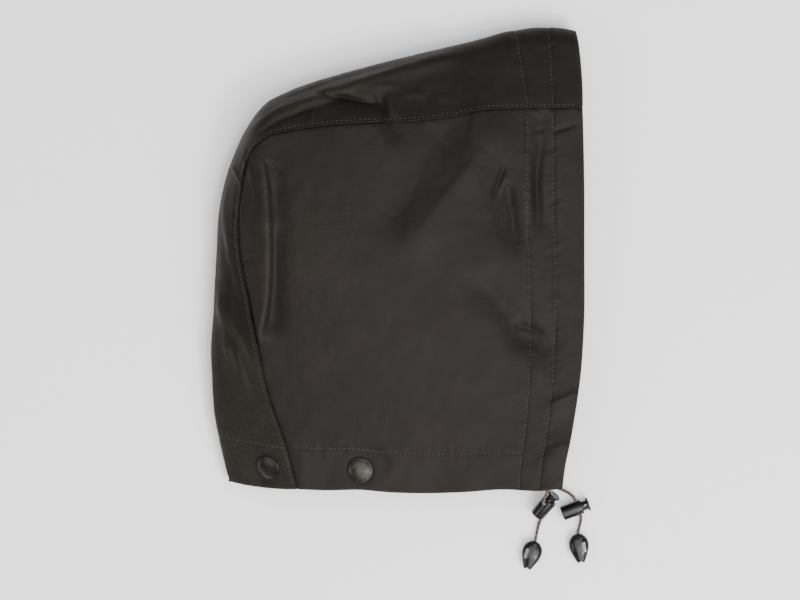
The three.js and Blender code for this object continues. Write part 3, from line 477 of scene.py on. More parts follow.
def gusset_raw(q, c):
    """Gusset: q runs from nape to brow, c from near seam (0) over fold line (1) to far seam (2)."""
    q, c = both(q, c)
    fold = fold_line(q)
    shape = fold_shape(q)
    height, bow = shape[..., 0], shape[..., 1]
    upper = c < 1
    end = np.where(upper[..., None], near_seam(q), far_seam(q))
    width = np.linalg.norm(fold - end, axis=-1)
    share = np.abs(c - 1)
    lean = np.where(upper, bow * 4 * share * (1 - share) / width, 0)
    x = lerp(fold[..., 0], end[..., 0], share) + (fold[..., 1] - end[..., 1]) * lean
    y = lerp(fold[..., 1], end[..., 1], share) - (fold[..., 0] - end[..., 0]) * lean
    roll = np.minimum(ROLL, width)
    k = np.clip(1 - share * width / np.where(upper, roll, CURL), 0, 1)
    round_part = np.sqrt(1 - k * k)
    top = loft(x, y) - GUSSET_FALL * (1 - share)
    z = np.where(upper, height + (top - height) * round_part, FLAT + (height - FLAT) * (1 - round_part))
    return np.stack([x, y, z], -1)


def unit(vectors):
    return vectors / np.linalg.norm(vectors, axis=-1, keepdims=True)


def normal_of(at, u, v, side):
    e = 1e-4
    du = at(u + e, v) - at(u - e, v)
    dv = at(u, v + e) - at(u, np.maximum(v - e, 0))
    return unit(np.cross(du, dv)) * side


# Seats of the four snaps
SEAT = CAP_DIAMETER / 2 + SEAT_MARGIN
SEAT_RADIUS = SEAT * math.sqrt(2)
snap_up = HEM * SNAP_FROM_HEM


def span_of(at, start, end):
    return float(np.linalg.norm(at(*end) - at(*start)))


def gusset_plan(q, c):
    return gusset_raw(q, c) * (1, 1, 0)


def gusset_span(c):
    return span_of(gusset_plan, (snap_up * CORNER, 1.0), (snap_up * CORNER, c))


near_panel_snap = SNAP_FROM_SEAM_PANEL / span_of(near_raw, (0.0, snap_up), (1.0, snap_up))
far_panel_snap = SNAP_FROM_SEAM_PANEL / span_of(far_raw, (0.0, snap_up), (1.0, snap_up))
near_gusset_snap = SNAP_FROM_SEAM_GUSSET / gusset_span(0.0)
far_gusset_snap = 2 - SNAP_FROM_SEAM_GUSSET / gusset_span(2.0)
tilt, heading = math.radians(SNAP_TILT), math.radians(SNAP_TILT_HEADING)
tilted = np.array([math.sin(tilt) * math.cos(heading), math.sin(tilt) * math.sin(heading), math.cos(tilt)])
upper_seats = [
    (gusset_raw(snap_up * CORNER, near_gusset_snap), tilted),
    (near_raw(near_panel_snap, snap_up), normal_of(near_raw, near_panel_snap, snap_up, 1)),
]
floor_seats = [gusset_raw(snap_up * CORNER, far_gusset_snap), far_raw(far_panel_snap, snap_up)]


def settle(points):
    """Bends the upper layer to the planes of its two snaps."""
    points = points.copy()
    for centre, normal in upper_seats:
        dx, dy = points[..., 0] - centre[0], points[..., 1] - centre[1]
        distance = np.hypot(dx, dy)
        lean = -(dx * normal[0] + dy * normal[1]) / normal[2]
        lean = lean * (1 + (distance / SEAT_BEND) ** 6) ** (-1 / 3)
        flat = 1 - smoothstep(distance, SEAT, SEAT_RADIUS + SEAT_FADE)
        wide = 1 - smoothstep(distance, SEAT_RADIUS, SEAT_REACH)
        base = points[..., 2]
        points[..., 2] = base + flat * (centre[2] - base) + lean * wide
    return points


def lift_off(points):
    """Raises the lower layer off the floor where a cap lies under it."""
    points = points.copy()
    lift = np.zeros(points.shape[:-1])
    for centre in floor_seats:
        distance = from_place(points[..., 0], points[..., 1], centre)
        here = 1 - smoothstep(distance, SEAT_RADIUS, SEAT_RADIUS + FLOOR_SEAT_FADE)
        lift = np.maximum(lift, (CAP_HEIGHT + GAP) * here)
    points[..., 2] = np.maximum(points[..., 2], FLAT + lift)
    return points


# Relief: everything that is finer than the CAD model's folds
rng = np.random.default_rng(7)


def waves(count, shortest, longest):
    """Waves in all directions, with lengths in millimetres: the longer, the higher."""
    lengths = np.exp(rng.uniform(math.log(shortest), math.log(longest), count))
    angles = rng.uniform(0, 2 * math.pi, count)
    return [
        (math.cos(a) / l, math.sin(a) / l, rng.uniform(0, 2 * math.pi), l / longest)
        for a, l in zip(angles, lengths)
    ]


SWELL = waves(26, 26, 70)
RUMPLE = waves(40, 7, 22)


def noise(spectrum, x, y):
    """Sum of the spectrum's waves, about 1 high."""
    total = np.zeros_like(x)
    for kx, ky, phase, weight in spectrum:
        total += weight * np.sin(2 * math.pi * (kx * x + ky * y) + phase)
    return total / math.sqrt(len(spectrum) / 2)


def spline(points, count):
    """Centripetal Catmull-Rom curve through points, count samples to each stretch."""
    p = np.asarray(points, float)
    p = np.concatenate([[2 * p[0] - p[1]], p, [2 * p[-1] - p[-2]]])
    out = []
    for a, b, c, d in zip(p[:-3], p[1:-2], p[2:-1], p[3:]):
        t1 = math.sqrt(np.linalg.norm(b - a)) + 1e-9
        t2 = t1 + math.sqrt(np.linalg.norm(c - b)) + 1e-9
        t3 = t2 + math.sqrt(np.linalg.norm(d - c)) + 1e-9
        t = np.linspace(t1, t2, count, endpoint=False)[:, None]
        a1 = lerp(a, b, t / t1)
        a2 = lerp(b, c, (t - t1) / (t2 - t1))
        a3 = lerp(c, d, (t - t2) / (t3 - t2))
        b1 = lerp(a1, a2, t / t2)
        b2 = lerp(a2, a3, (t - t1) / (t3 - t1))
        out.append(lerp(b1, b2, (t - t1) / (t2 - t1)))
    return np.concatenate(out + [p[-2:-1]])


def crease_rise(x, y, sharp_ridges_only=False):
    """Height of all creases at a place, each one fading towards its ends."""
    rise = np.zeros_like(x)
    for crease in CREASES:
        width = max(crease["left"], crease["right"])
        if sharp_ridges_only and (width > SHARP or crease["rise"] < 0):
            continue
        height = crease["rise"] * (CREASE_SCALE if width < 6 else 1)
        line = spline(plan(*np.array(crease["line"]).T), 8)
        reach = 2.6 * max(crease["left"], crease["right"])
        near = np.nonzero(
            (x > line[:, 0].min() - reach) & (x < line[:, 0].max() + reach)
            & (y > line[:, 1].min() - reach) & (y < line[:, 1].max() + reach)
        )
        if not len(near[0]):
            continue
        place = np.stack([x[near], y[near]], -1)
        start, step = line[:-1], np.diff(line, axis=0)
        length2 = (step ** 2).sum(1)
        f = np.clip(((place[:, None] - start) * step).sum(-1) / length2, 0, 1)
        gap = place[:, None] - start - f[..., None] * step
        distances = np.linalg.norm(gap, axis=-1)
        k = distances.argmin(1)
        rows = np.arange(len(k))
        side = step[k, 0] * gap[rows, k, 1] - step[k, 1] * gap[rows, k, 0]
        width = np.where(side > 0, crease["left"], crease["right"])
        along = (k + f[rows, k]) / len(step)
        fade = np.sqrt(np.clip(np.sin(np.pi * along), 0, 1))
        rise[near] += height * fade * bell(distances[rows, k], width)
    return rise


def calm(x, y):
    """1 away from the snaps, 0 on their seats."""
    weight = np.ones_like(x)
    for centre in [upper_seats[0][0], upper_seats[1][0], *floor_seats]:
        distance = from_place(x, y, centre)
        weight = np.minimum(weight, smoothstep(distance, CAP_DIAMETER / 2, CAP_DIAMETER / 2 + 7))
    return weight


def dimple(x, y):
    """The cloth is pinched just outside the rim of each cap."""
    sink = np.zeros_like(x)
    for centre in [upper_seats[0][0], upper_seats[1][0]]:
        distance = from_place(x, y, centre)
        sink -= CAP_DIMPLE * bell(distance - CAP_DIAMETER / 2 - 0.5, 0.9)
    return sink


def ripple(along, seed):
    """Uneven waves along a seam, about 1 high."""
    local = np.random.default_rng(seed)
    total = np.zeros_like(along)
    for length in (31, 19, 13.5, 9.2, 7.1, 5.6):
        stretched = length * local.uniform(0.9, 1.1)
        total += np.sin(2 * math.pi * along / stretched + local.uniform(0, 6.3))
    return total / 2.4


def broad_rise(x, y):
    """The middle of the panel stands highest on the left, behind the long fold."""
    across, up = x / DEPTH + 0.5, y / HEIGHT + 0.5
    return BROAD_RISE * np.exp(-(((across - 0.3) / 0.2) ** 2) - ((up - 0.47) / 0.27) ** 2)


band_width = span_of(near_raw, (0.0, 0.5), (1.0, 0.5))
facing = 1 - FACING / band_width
tunnel = 1 - TUNNEL / band_width
hem_height = span_of(near_raw, (near_panel_snap, 0.0), (near_panel_snap, HEM))
panel_length = (PANEL_HEIGHT - hem_height) / (1 - HEM)


def groove(distance, depth=0.35, width=1.0):
    return -depth * bell(distance, width)


def band_relief(s, along):
    """Bands at the face edge: both stitch lines pull in, and the cloth between them puffs and ripples."""
    from_edge = (1 - s) * band_width
    outer, inner = from_edge - TUNNEL, from_edge - FACING
    rise = groove(outer) + groove(inner)
    between = np.clip(-inner / (FACING - TUNNEL), 0, 1)
    rise += np.where(outer > 0, BAND_PUFF * np.sin(np.pi * between), 0)
    rise += np.where(outer < 0, TUNNEL_PUFF * np.sin(np.pi * np.clip(from_edge / TUNNEL, 0, 1)), 0)
    pull = bell(outer, 5.5) * ripple(along + 0.5 * outer, 3)
    pull += 0.8 * bell(inner, 5.0) * ripple(along - 0.3 * inner, 5)
    return rise + BAND_RIPPLE * pull


def panel_relief(s, t, x, y):
    rise = band_relief(s, y)
    hem_gap = np.where(t < HEM, (t / HEM - 1) * hem_height, (t - HEM) * PANEL_HEIGHT)
    rise += groove(hem_gap) * (s < facing)
    behind_bands = 1 - smoothstep(s, facing - 0.03, facing)
    rise += HEM_RIPPLE * bell(hem_gap, 4.5) * ripple(x, 11) * behind_bands
    rise += PANEL_SWELL * noise(SWELL, x, y) + PANEL_RUMPLE * noise(RUMPLE, x, y)
    return rise


def near_surface(s, t):
    """Middle of the near panel's cloth with its relief."""
    points = settle(near_raw(s, t))
    s, t = both(s, t)
    x, y = points[..., 0], points[..., 1]
    rise = panel_relief(s, t, x, y) + broad_rise(x, y) + crease_rise(x, y) + seam_pucker(x, y, s, t)
    points[..., 2] += rise * calm(x, y) + dimple(x, y)
    return points


def seam_pucker(x, y, s, t):
    """Short gathers that run into the seam from the panel's side."""
    corner_way = np.where(t > PUCKER_FROM, (1 - t) * PANEL_HEIGHT, 1e3)
    distance = np.minimum(np.abs(s) * band_width, np.abs(corner_way))
    return PANEL_SEAM_RIPPLE * np.exp(-distance / PUCKER_REACH) * ripple(x * 0.8 + y, 17)


def far_surface(s, t):
    points = far_raw(s, t)
    x, y = points[..., 0], points[..., 1]
    s, t = both(s, t)
    rise = 0.5 * band_relief(s, y) + FAR_SWELL * noise(SWELL, x, y) + FAR_RUMPLE * noise(RUMPLE, x, y)
    rise = np.maximum(rise * calm(x, y) + FAR_PUFF, 0)
    points[..., 2] += rise
    return lift_off(points)


def gusset_normal(at, q, c):
    e = 2e-3
    along = at(np.clip(q + e, 0, 1), c) - at(np.clip(q - e, 0, 1), c)
    across = at(q, np.clip(c + e, 0, 2)) - at(q, np.clip(c - e, 0, 2))
    return unit(np.cross(along, across))


def gusset_surface(q, c):
    """Middle of the gusset's cloth with its relief, from the near seam round to the far one."""
    points = gusset_raw(q, c)
    q, c = both(q, c)
    upper = c < 1
    points = np.where(upper[..., None], settle(points), lift_off(points))
    x, y = points[..., 0], points[..., 1]
    end = np.where(upper[..., None], near_seam(q), far_seam(q))
    width = np.linalg.norm(fold_line(q) - end, axis=-1)
    from_seam = (1 - np.abs(c - 1)) * width
    s = (q - CORNER) / (1 - CORNER)
    bands = np.where(s > 0, band_relief(np.maximum(s, 0), from_seam + 200), 0)
    hem_gap = (q / (HEM * CORNER) - 1) * hem_height
    rise = bands + groove(hem_gap) * (hem_gap < 30)
    rise += groove(from_seam - SEAM_STITCH, 0.3, 0.9)
    rise += GUSSET_SEAM_RIPPLE * np.exp(-from_seam / PUCKER_REACH) * ripple(x * 0.8 + y, 23)
    rise += GUSSET_SWELL * noise(SWELL, x, y) + GUSSET_RUMPLE * noise(RUMPLE, x, y)
    large = (broad_rise(x, y) + crease_rise(x, y)) * smoothstep(np.abs(c - 1) * width, 0.5, 5)
    rise += np.where(upper, large, 0)
    rise = rise * calm(x, y) * np.where(upper, 1, 0.5 * smoothstep(points[..., 2], 0.5, 5))
    rise += dimple(x, y) * upper
    return points + gusset_normal(gusset_raw, q, c) * rise[..., None]


# Meshes
def mesh_object(name, vertices, faces, smooth=True):
    mesh = bpy.data.meshes.new(name)
    mesh.from_pydata([tuple(v) for v in np.asarray(vertices).tolist()], [], faces)
    mesh.polygons.foreach_set("use_smooth", [smooth] * len(mesh.polygons))
    mesh.update()
    piece = bpy.data.objects.new(name, mesh)
    bpy.context.collection.objects.link(piece)
    return piece


def from_bmesh(name, bm):
    mesh = bpy.data.meshes.new(name)
    bm.to_mesh(mesh)
    bm.free()
    piece = bpy.data.objects.new(name, mesh)
    bpy.context.collection.objects.link(piece)
    return piece


def face_outwards(piece, merge=0.0):
    """Turns all faces outwards, after points closer together than merge are joined."""
    bm = bmesh.new()
    bm.from_mesh(piece.data)
    if merge:
        bmesh.ops.remove_doubles(bm, verts=bm.verts, dist=merge)
    bmesh.ops.recalc_face_normals(bm, faces=bm.faces)
    bm.to_mesh(piece.data)
    bm.free()


def tube_faces(rings, sides):
    """Faces of a closed tube, whose points come ring by ring."""
    faces = []
    for k in range(rings - 1):
        for i in range(sides):
            j = (i + 1) % sides
            faces.append((k * sides + i, k * sides + j, (k + 1) * sides + j, (k + 1) * sides + i))
    last = (rings - 1) * sides
    return faces + [tuple(range(sides - 1, -1, -1)), tuple(range(last, last + sides))]


def declare(piece, node, body="hood", material=None):
    """Gives a piece its material, hides the CAD part it stands in for, and parents it to the empty of the
    body that carries it.
    """
    if material:
        piece.data.materials.append(material)
    if node:
        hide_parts(node)
    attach(piece, body)


def grid_normals(points):
    du = np.gradient(points, axis=0)
    dv = np.gradient(points, axis=1)
    return unit(np.cross(du, dv))


def rim_lines(radius, steps=5):
    """Distances from an edge and how far the face has sunk there, for a round edge."""
    angles = np.linspace(0, math.pi / 2, steps + 1)
    return radius * (1 - np.cos(angles)), radius * (1 - np.sin(angles))


def cloth_sheet(name, points, normals, outer, inner, uv, wear_and_painted_light, materials):
    """Closed sheet of cloth. outer and inner are the distances of its two faces from the middle surface."""
    rows, columns = points.shape[:2]
    top = points + normals * outer[..., None]
    bottom = points + normals * inner[..., None]
    vertices = np.concatenate([top.reshape(-1, 3), bottom.reshape(-1, 3)]) * MM
    i, j = np.meshgrid(np.arange(rows - 1), np.arange(columns - 1), indexing="ij")
    a = (i * columns + j).ravel()
    quads = np.stack([a, a + columns, a + columns + 1, a + 1], 1)
    n = rows * columns
    faces = np.concatenate([quads, quads[:, ::-1] + n])
    edge = np.concatenate([
        np.arange(columns), np.arange(1, rows) * columns + columns - 1,
        (rows - 1) * columns + np.arange(columns - 2, -1, -1), np.arange(rows - 2, 0, -1) * columns,
    ])
    following = np.roll(edge, -1)
    walls = np.stack([edge, following, following + n, edge + n], 1)
    piece = mesh_object(name, vertices, np.concatenate([faces, walls]).tolist())
    mesh = piece.data
    for material in materials:
        mesh.materials.append(material)
    slots = np.concatenate([np.zeros(len(quads)), np.ones(len(quads)), np.zeros(len(walls))]).astype(int)
    mesh.polygons.foreach_set("material_index", slots if len(materials) > 1 else slots * 0)
    flat_uv = np.concatenate([uv.reshape(-1, 2), uv.reshape(-1, 2)]) * MM
    loops = np.empty(len(mesh.loops), int)
    mesh.loops.foreach_get("vertex_index", loops)
    mesh.uv_layers.new(name="cloth").data.foreach_set("uv", flat_uv[loops].ravel())
    # Paler share of the outer face: real wear on edges and patches, painted highlight on sharp ridges and
    # painted light on the panel's middle and the nape; the inner face gets none.
    paler = mesh.attributes.new("wear_and_painted_light", "FLOAT", "POINT")
    paler.data.foreach_set("value", np.concatenate([wear_and_painted_light.ravel(), wear_and_painted_light.ravel() * 0]))
    face_outwards(piece, 2e-6)
    return piece


def lathe(name, profile, frame_matrix, sides=48):
    """Turned solid about local Y. Its profile, in millimetres, starts and ends on the axis or closes."""
    profile = np.asarray(profile, float)
    closed_profile = np.allclose(profile[0], profile[-1])
    rows = profile[:-1] if closed_profile else profile
    bm = bmesh.new()
    rings = []
    for radius, height in rows:
        if radius < 1e-6:
            rings.append([bm.verts.new((0, height * MM, 0))])
            continue
        reach = radius * MM
        angles = np.arange(sides) / sides * 2 * math.pi
        rings.append([
            bm.verts.new((reach * math.cos(a), height * MM, reach * math.sin(a))) for a in angles
        ])
    pairs = list(zip(rings, rings[1:])) + ([(rings[-1], rings[0])] if closed_profile else [])
    for low, high in pairs:
        for i in range(sides):
            j = (i + 1) % sides
            corners = [low[i % len(low)], low[j % len(low)], high[j % len(high)], high[i % len(high)]]
            bm.faces.new(list(dict.fromkeys(corners)))
    bmesh.ops.recalc_face_normals(bm, faces=bm.faces)
    bmesh.ops.transform(bm, matrix=frame_matrix, verts=bm.verts)
    return from_bmesh(name, bm)


def soften(piece, angle=32):
    """Smooth shading with sharp edges kept sharp."""
    bm = bmesh.new()
    bm.from_mesh(piece.data)
    for face in bm.faces:
        face.smooth = True
    for edge in bm.edges:
        edge.smooth = len(edge.link_faces) == 2 and edge.calc_face_angle(0) < math.radians(angle)
    bm.to_mesh(piece.data)
    bm.free()


def fillet(corners, radius, steps=4):
    """Profile with each inner corner rounded by its radius."""
    out = [corners[0]]
    for before, here, after, r in zip(corners, corners[1:], corners[2:], radius):
        p, a, b = (np.array(v, float) for v in (here, before, after))
        if r <= 0:
            out.append(tuple(p))
            continue
        start = p + (a - p) / np.linalg.norm(a - p) * r
        end = p + (b - p) / np.linalg.norm(b - p) * r
        for f in np.linspace(0, 1, steps + 1):
            out.append(tuple(lerp(lerp(start, p, f), lerp(p, end, f), f)))
    return out + [corners[-1]]


def carve(piece, cutters, operation="DIFFERENCE"):
    """Cuts the cutters out of a piece, or joins them to it, and uses them up."""
    for cutter in cutters:
        modifier = piece.modifiers.new("carve", "BOOLEAN")
        modifier.operation = operation
        modifier.solver = "EXACT"
        modifier.object = cutter
        depsgraph = bpy.context.evaluated_depsgraph_get()
        carved = bpy.data.meshes.new_from_object(piece.evaluated_get(depsgraph))
        piece.modifiers.clear()
        old = piece.data
        piece.data = carved
        bpy.data.meshes.remove(old)
        bpy.data.objects.remove(cutter)


SIDEWAYS = (1, 0, 0.001)


def along_frame(origin, along, towards):
    """Frame whose Y runs along a direction, with its Z turned towards another."""
    y = Vector(along).normalized()
    x = y.cross(Vector(towards)).normalized()
    z = x.cross(y)
    matrix = Matrix((x, y, z)).transposed().to_4x4()
    matrix.translation = Vector(origin) * MM
    return matrix


# Materials
def linear(srgb):
    """Linear colour of an 8-bit one."""
    shares = (v / 255 for v in srgb)
    return tuple(v / 12.92 if v <= 0.04045 else ((v + 0.055) / 1.055) ** 2.4 for v in shares) + (1,)


class Nodes:
    """Short way to write a node tree."""

    def __init__(self, name):
        self.material = bpy.data.materials.new(name)
        self.material.use_nodes = True
        self.tree = self.material.node_tree
        self.shader = self.tree.nodes["Principled BSDF"]
        self.place = self.add("TexCoord").outputs["Object"]

    def add(self, kind, settings=None, **inputs):
        node = self.tree.nodes.new("ShaderNode" + kind)
        for key, value in (settings or {}).items():
            setattr(node, key, value)
        for key, value in inputs.items():
            self.put(node, key, value)
        return node

    def put(self, node, key, value):
        socket = node.inputs[int(key[1:])] if key[0] == "_" else node.inputs[key.replace("_", " ")]
        if isinstance(value, bpy.types.NodeSocket):
            self.tree.links.new(value, socket)
        else:
            socket.default_value = value

    def math(self, operation, a, b=0.0, c=0.0):
        return self.add("Math", {"operation": operation}, _0=a, _1=b, _2=c).outputs[0]

    def mix(self, factor, a, b, blend="MIX"):
        """Mix of two colours, each a socket or an 8-bit colour."""
        a, b = (linear(v) if isinstance(v, tuple) else v for v in (a, b))
        node = self.add("Mix", {"data_type": "RGBA", "blend_type": blend}, _0=factor, _6=a, _7=b)
        return node.outputs[2]

    def noise(self, vector, scale, detail=3.0, roughness=0.5, out="Fac"):
        node = self.add("TexNoise", None, Vector=vector, Scale=scale, Detail=detail, Roughness=roughness)
        return node.outputs[out]

    def ramp(self, factor, low, high, to_low=0.0, to_high=1.0):
        node = self.add("MapRange", None, Value=factor)
        for key, value in zip((1, 2, 3, 4), (low, high, to_low, to_high)):
            node.inputs[key].default_value = value
        return node.outputs[0]

    def scaled(self, vector, scale):
        return self.add("Mapping", None, Vector=vector, Scale=scale).outputs[0]

    def bump(self, height, strength, distance, normal=None):
        node = self.add("Bump", None, Height=height, Strength=strength, Distance=distance)
        if normal is not None:
            self.put(node, "Normal", normal)
        return node.outputs[0]

    def finish(self, **inputs):
        for key, value in inputs.items():
            self.put(self.shader, key, value)
        return self.material


# Threads of the weave: width and how far they wander, in metres
THREAD_WIDTH = 0.00052
THREAD_BEND = 0.00035


def waxed_cloth(name, deep, pale, paler, roughness, wax=1.0):
    """Woven cotton under wax: a plain weave with painted shade between its threads, slubs along both
    threads, cloudy wax, and a paler colour mixed in by the cloth's paler share: worn edges and patches,
    rubbed wax and painted highlight on ridges, and painted light on the panel's middle and the nape.
    """
    n = Nodes(name)
    uv = n.add("UVMap", {"uv_map": "cloth"}).outputs[0]
    wobble = n.noise(uv, 260, 2.0, out="Color")
    bent = n.add("VectorMath", {"operation": "MULTIPLY_ADD"}, _0=wobble, _1=(THREAD_BEND,) * 3, _2=uv)
    split = n.add("SeparateXYZ", None, Vector=bent.outputs[0])
    u = n.math("MULTIPLY", split.outputs[0], math.pi / THREAD_WIDTH)
    v = n.math("MULTIPLY", split.outputs[1], math.pi / THREAD_WIDTH)
    warp = n.math("ABSOLUTE", n.math("SINE", u))
    weft = n.math("ABSOLUTE", n.math("SINE", v))
    over = n.math("MULTIPLY", n.math("COSINE", u), n.math("COSINE", v))
    over = n.ramp(over, -0.25, 0.25)
    weave = n.add("Mix", None, _0=over, _2=warp, _3=weft).outputs[0]
    slub_u = n.noise(n.scaled(uv, (40, 900, 1)), 1.0, 2.0)
    slub_v = n.noise(n.scaled(uv, (900, 40, 1)), 1.0, 2.0)
    slubs = n.math("ADD", slub_u, slub_v)
    clouds = n.noise(n.place, 22, 4.0, 0.6)
    patches = n.noise(n.place, 70, 4.0, 0.65)
    pale_speckle = n.noise(n.place, 420, 3.0, 0.7)
    # The paler colour follows the mesh's paler share: real wear, painted highlight and painted light.
    wear_and_painted_light = n.add("Attribute", {"attribute_name": "wear_and_painted_light"}).outputs["Fac"]
    cloudy = n.math("ADD", n.math("MULTIPLY", clouds, 0.6), n.math("MULTIPLY", patches, 0.4))
    cloudy = n.ramp(cloudy, 0.36, 0.66)
    colour = n.mix(cloudy, deep, pale)
    pale_share = n.math("MULTIPLY", wear_and_painted_light, n.ramp(pale_speckle, 0.35, 0.7, 0.35, 1.0))
    pale_share = n.math("MINIMUM", pale_share, 1.0)
    colour = n.mix(pale_share, colour, paler)
    # Painted shade: the colour darkens in the low places between the woven threads, and the slubs add
    # uneven tone along them.
    shade = n.math("MULTIPLY_ADD", slubs, 0.5, n.math("MULTIPLY", weave, 0.35))
    shade = n.ramp(shade, 0.45, 0.95, 0.84, 1.12)
    shade_colour = n.add("CombineColor", None, Red=shade, Green=shade, Blue=shade).outputs[0]
    colour = n.mix(1.0, colour, shade_colour, "MULTIPLY")
    rough = n.math("ADD", patches, n.math("MULTIPLY", slubs, 0.3))
    rough = n.ramp(rough, 0.5, 1.1, roughness - 0.06, roughness + 0.08)
    rough = n.math("MULTIPLY_ADD", wear_and_painted_light, 0.08, rough)
    bump = n.bump(weave, 0.35, 0.00012)
    bump = n.bump(slubs, 0.25, 0.0002, bump)
    crinkle = n.noise(n.place, 600, 2.0, 0.6)
    bump = n.bump(crinkle, 0.22, 0.0006, bump)
    bump = n.bump(patches, 0.3 * wax, 0.0016, bump)
    return n.finish(
        Base_Color=colour, Roughness=rough, Normal=bump, Specular_IOR_Level=0.12,
        Specular_Tint=linear((245, 238, 232)), Sheen_Weight=0.04, Sheen_Roughness=0.45,
        Sheen_Tint=linear((170, 150, 130)),
    )


def thread_material():
    n = Nodes("thread")
    clouds = n.noise(n.place, 160, 2.0)
    fibres = n.noise(n.scaled(n.place, (3000, 3000, 3000)), 1.0, 3.0)
    colour = n.mix(n.ramp(clouds, 0.35, 0.65), (44, 40, 33), (62, 55, 45))
    bump = n.bump(fibres, 0.5, 0.0001)
    return n.finish(Base_Color=colour, Roughness=0.7, Normal=bump)


def cord_material():
    """Yarn that winds round the cord both ways, with painted shade in the hollows between its strands and
    uneven paler tone.
    """
    n = Nodes("cord_yarn")
    uv = n.add("UVMap", {"uv_map": "cloth"}).outputs[0]
    split = n.add("SeparateXYZ", None, Vector=uv)
    ways = [n.math(way, split.outputs[0], split.outputs[1]) for way in ("ADD", "SUBTRACT")]
    strands = [n.math("SINE", n.math("MULTIPLY", way, 2 * math.pi)) for way in ways]
    plait = n.math("MAXIMUM", *strands)
    fibres = n.noise(n.place, 2600, 3.0, 0.7)
    clouds = n.noise(n.place, 120, 2.0)
    # Painted shade: the colour is darker where neither strand lies on top, in the braid's hollows.
    colour = n.mix(n.ramp(plait, 0.1, 0.9), (44, 34, 29), (82, 66, 56))
    colour = n.mix(n.ramp(clouds, 0.3, 0.7, 0.0, 0.35), colour, (92, 74, 62))
    bump = n.bump(n.math("ADD", plait, n.math("MULTIPLY", fibres, 0.8)), 0.6, 0.00018)
    return n.finish(Base_Color=colour, Roughness=0.82, Normal=bump, Sheen_Weight=0.2)


def gunmetal_material():
    n = Nodes("gunmetal")
    grain = n.noise(n.place, 900, 3.0, 0.7)
    spots = n.noise(n.place, 260, 4.0, 0.6)
    scratches = n.noise(n.scaled(n.place, (300, 2600, 300)), 1.0, 2.0)
    colour = n.mix(n.ramp(spots, 0.4, 0.65), (38, 36, 34), (50, 48, 45))
    colour = n.mix(n.ramp(scratches, 0.62, 0.72, 0.0, 0.5), colour, (78, 73, 68))
    rough = n.ramp(n.math("ADD", grain, scratches), 0.7, 1.3, 0.26, 0.4)
    bump = n.bump(grain, 0.12, 0.00006)
    return n.finish(Base_Color=colour, Metallic=0.9, Roughness=rough, Normal=bump)


def plastic_material():
    n = Nodes("black_plastic")
    grain = n.noise(n.place, 1500, 2.0, 0.6)
    smears = n.noise(n.place, 180, 4.0, 0.6)
    colour = n.mix(n.ramp(smears, 0.35, 0.7), (9, 9, 10), (19, 18, 19))
    rough = n.ramp(smears, 0.3, 0.7, 0.15, 0.27)
    bump = n.bump(grain, 0.1, 0.00008)
    return n.finish(Base_Color=colour, Roughness=rough, Normal=bump, Specular_IOR_Level=0.3)


def floor_material():
    n = Nodes("floor")
    clouds = n.noise(n.place, 1.5, 2.0)
    colour = n.mix(clouds, (248, 248, 249), (251, 251, 252))
    return n.finish(Base_Color=colour, Roughness=0.9)


panel_cloth = waxed_cloth("waxed_panel", (22, 20, 17), (29, 25, 23), (47, 43, 39), 0.48)
# Painted shade: the gusset is the panel's waxed cotton painted darker, for it slopes away from the light;
# its paler colour serves its worn fold and the painted light at the nape.
gusset_cloth = waxed_cloth("waxed_gusset", (17, 16, 13), (23, 21, 17), (57, 51, 46), 0.48)
lining = waxed_cloth("inner_cloth", (40, 37, 33), (48, 44, 40), (60, 53, 46), 0.7, 0.4)
thread = thread_material()
yarn = cord_material()
gunmetal = gunmetal_material()
plastic = plastic_material()


# Cloth pieces
def lines_between(low, high, cell):
    count = max(1, round((high - low) / cell))
    return list(np.linspace(low, high, count + 1))


EDGE = (CLOTH + LAYER) / 2
edge_at, _ = rim_lines(EDGE)
SEAM_DIP_AT = [-1.6, -0.8, 0, 0.4, 0.8, 1.3, 2.0, 3.0, 4.2]
stitch_at = [-1.2, -0.6, 0, 0.6, 1.2]


def with_stops(low, high, cell, stops):
    """Even lines with the stops' lines set among them."""
    stops = sorted(v for v in stops if low < v < high)
    lines = [v for v in lines_between(low, high, cell) if all(abs(v - s) > 0.55 * cell for s in stops)]
    return sorted(set(lines) | set(stops) | {low, high})


def seam_dip(distance):
    """How far a panel ducks under the gusset's edge at the seam."""
    inside = SEAM_DIP * np.exp(-np.maximum(distance, 0) / 1.3)
    return np.where(distance < 0, SEAM_DIP - 0.45 * distance, inside)


def edge_extra(distance):
    return LAYER * (1 - smoothstep(distance, EDGE, EDGE + 0.7))


def edge_sink(distance, radius=EDGE):
    x = np.clip(distance, 0, radius)
    return radius - np.sqrt(np.maximum(radius ** 2 - (radius - x) ** 2, 0))


def hem_to_t(distance):
    """Panel coordinate of a line at a distance from the hem edge, stitch line at HEM."""
    above = HEM + (distance - hem_height) / panel_length
    return np.where(distance < hem_height, distance / hem_height * HEM, above)


# Paler places, where and how wide: the panel's one is painted light on its left middle, the crown corner's
# one is rubbed wax
PANEL_PAINTED_LIGHT = ((-70, 5), 48)
CORNER_RUB = ((-105, 86), 7)


def pale_spot(x, y, place, width):
    return np.exp(-((x - place[0]) ** 2 + (y - place[1]) ** 2) / width ** 2)


# Sharp ridges made paler: partly rubbed wax, partly painted highlight along their lit crests.
def ridge_wear_and_highlight(x, y):
    return np.clip(crease_rise(x, y, True), 0, 1) ** 1.5


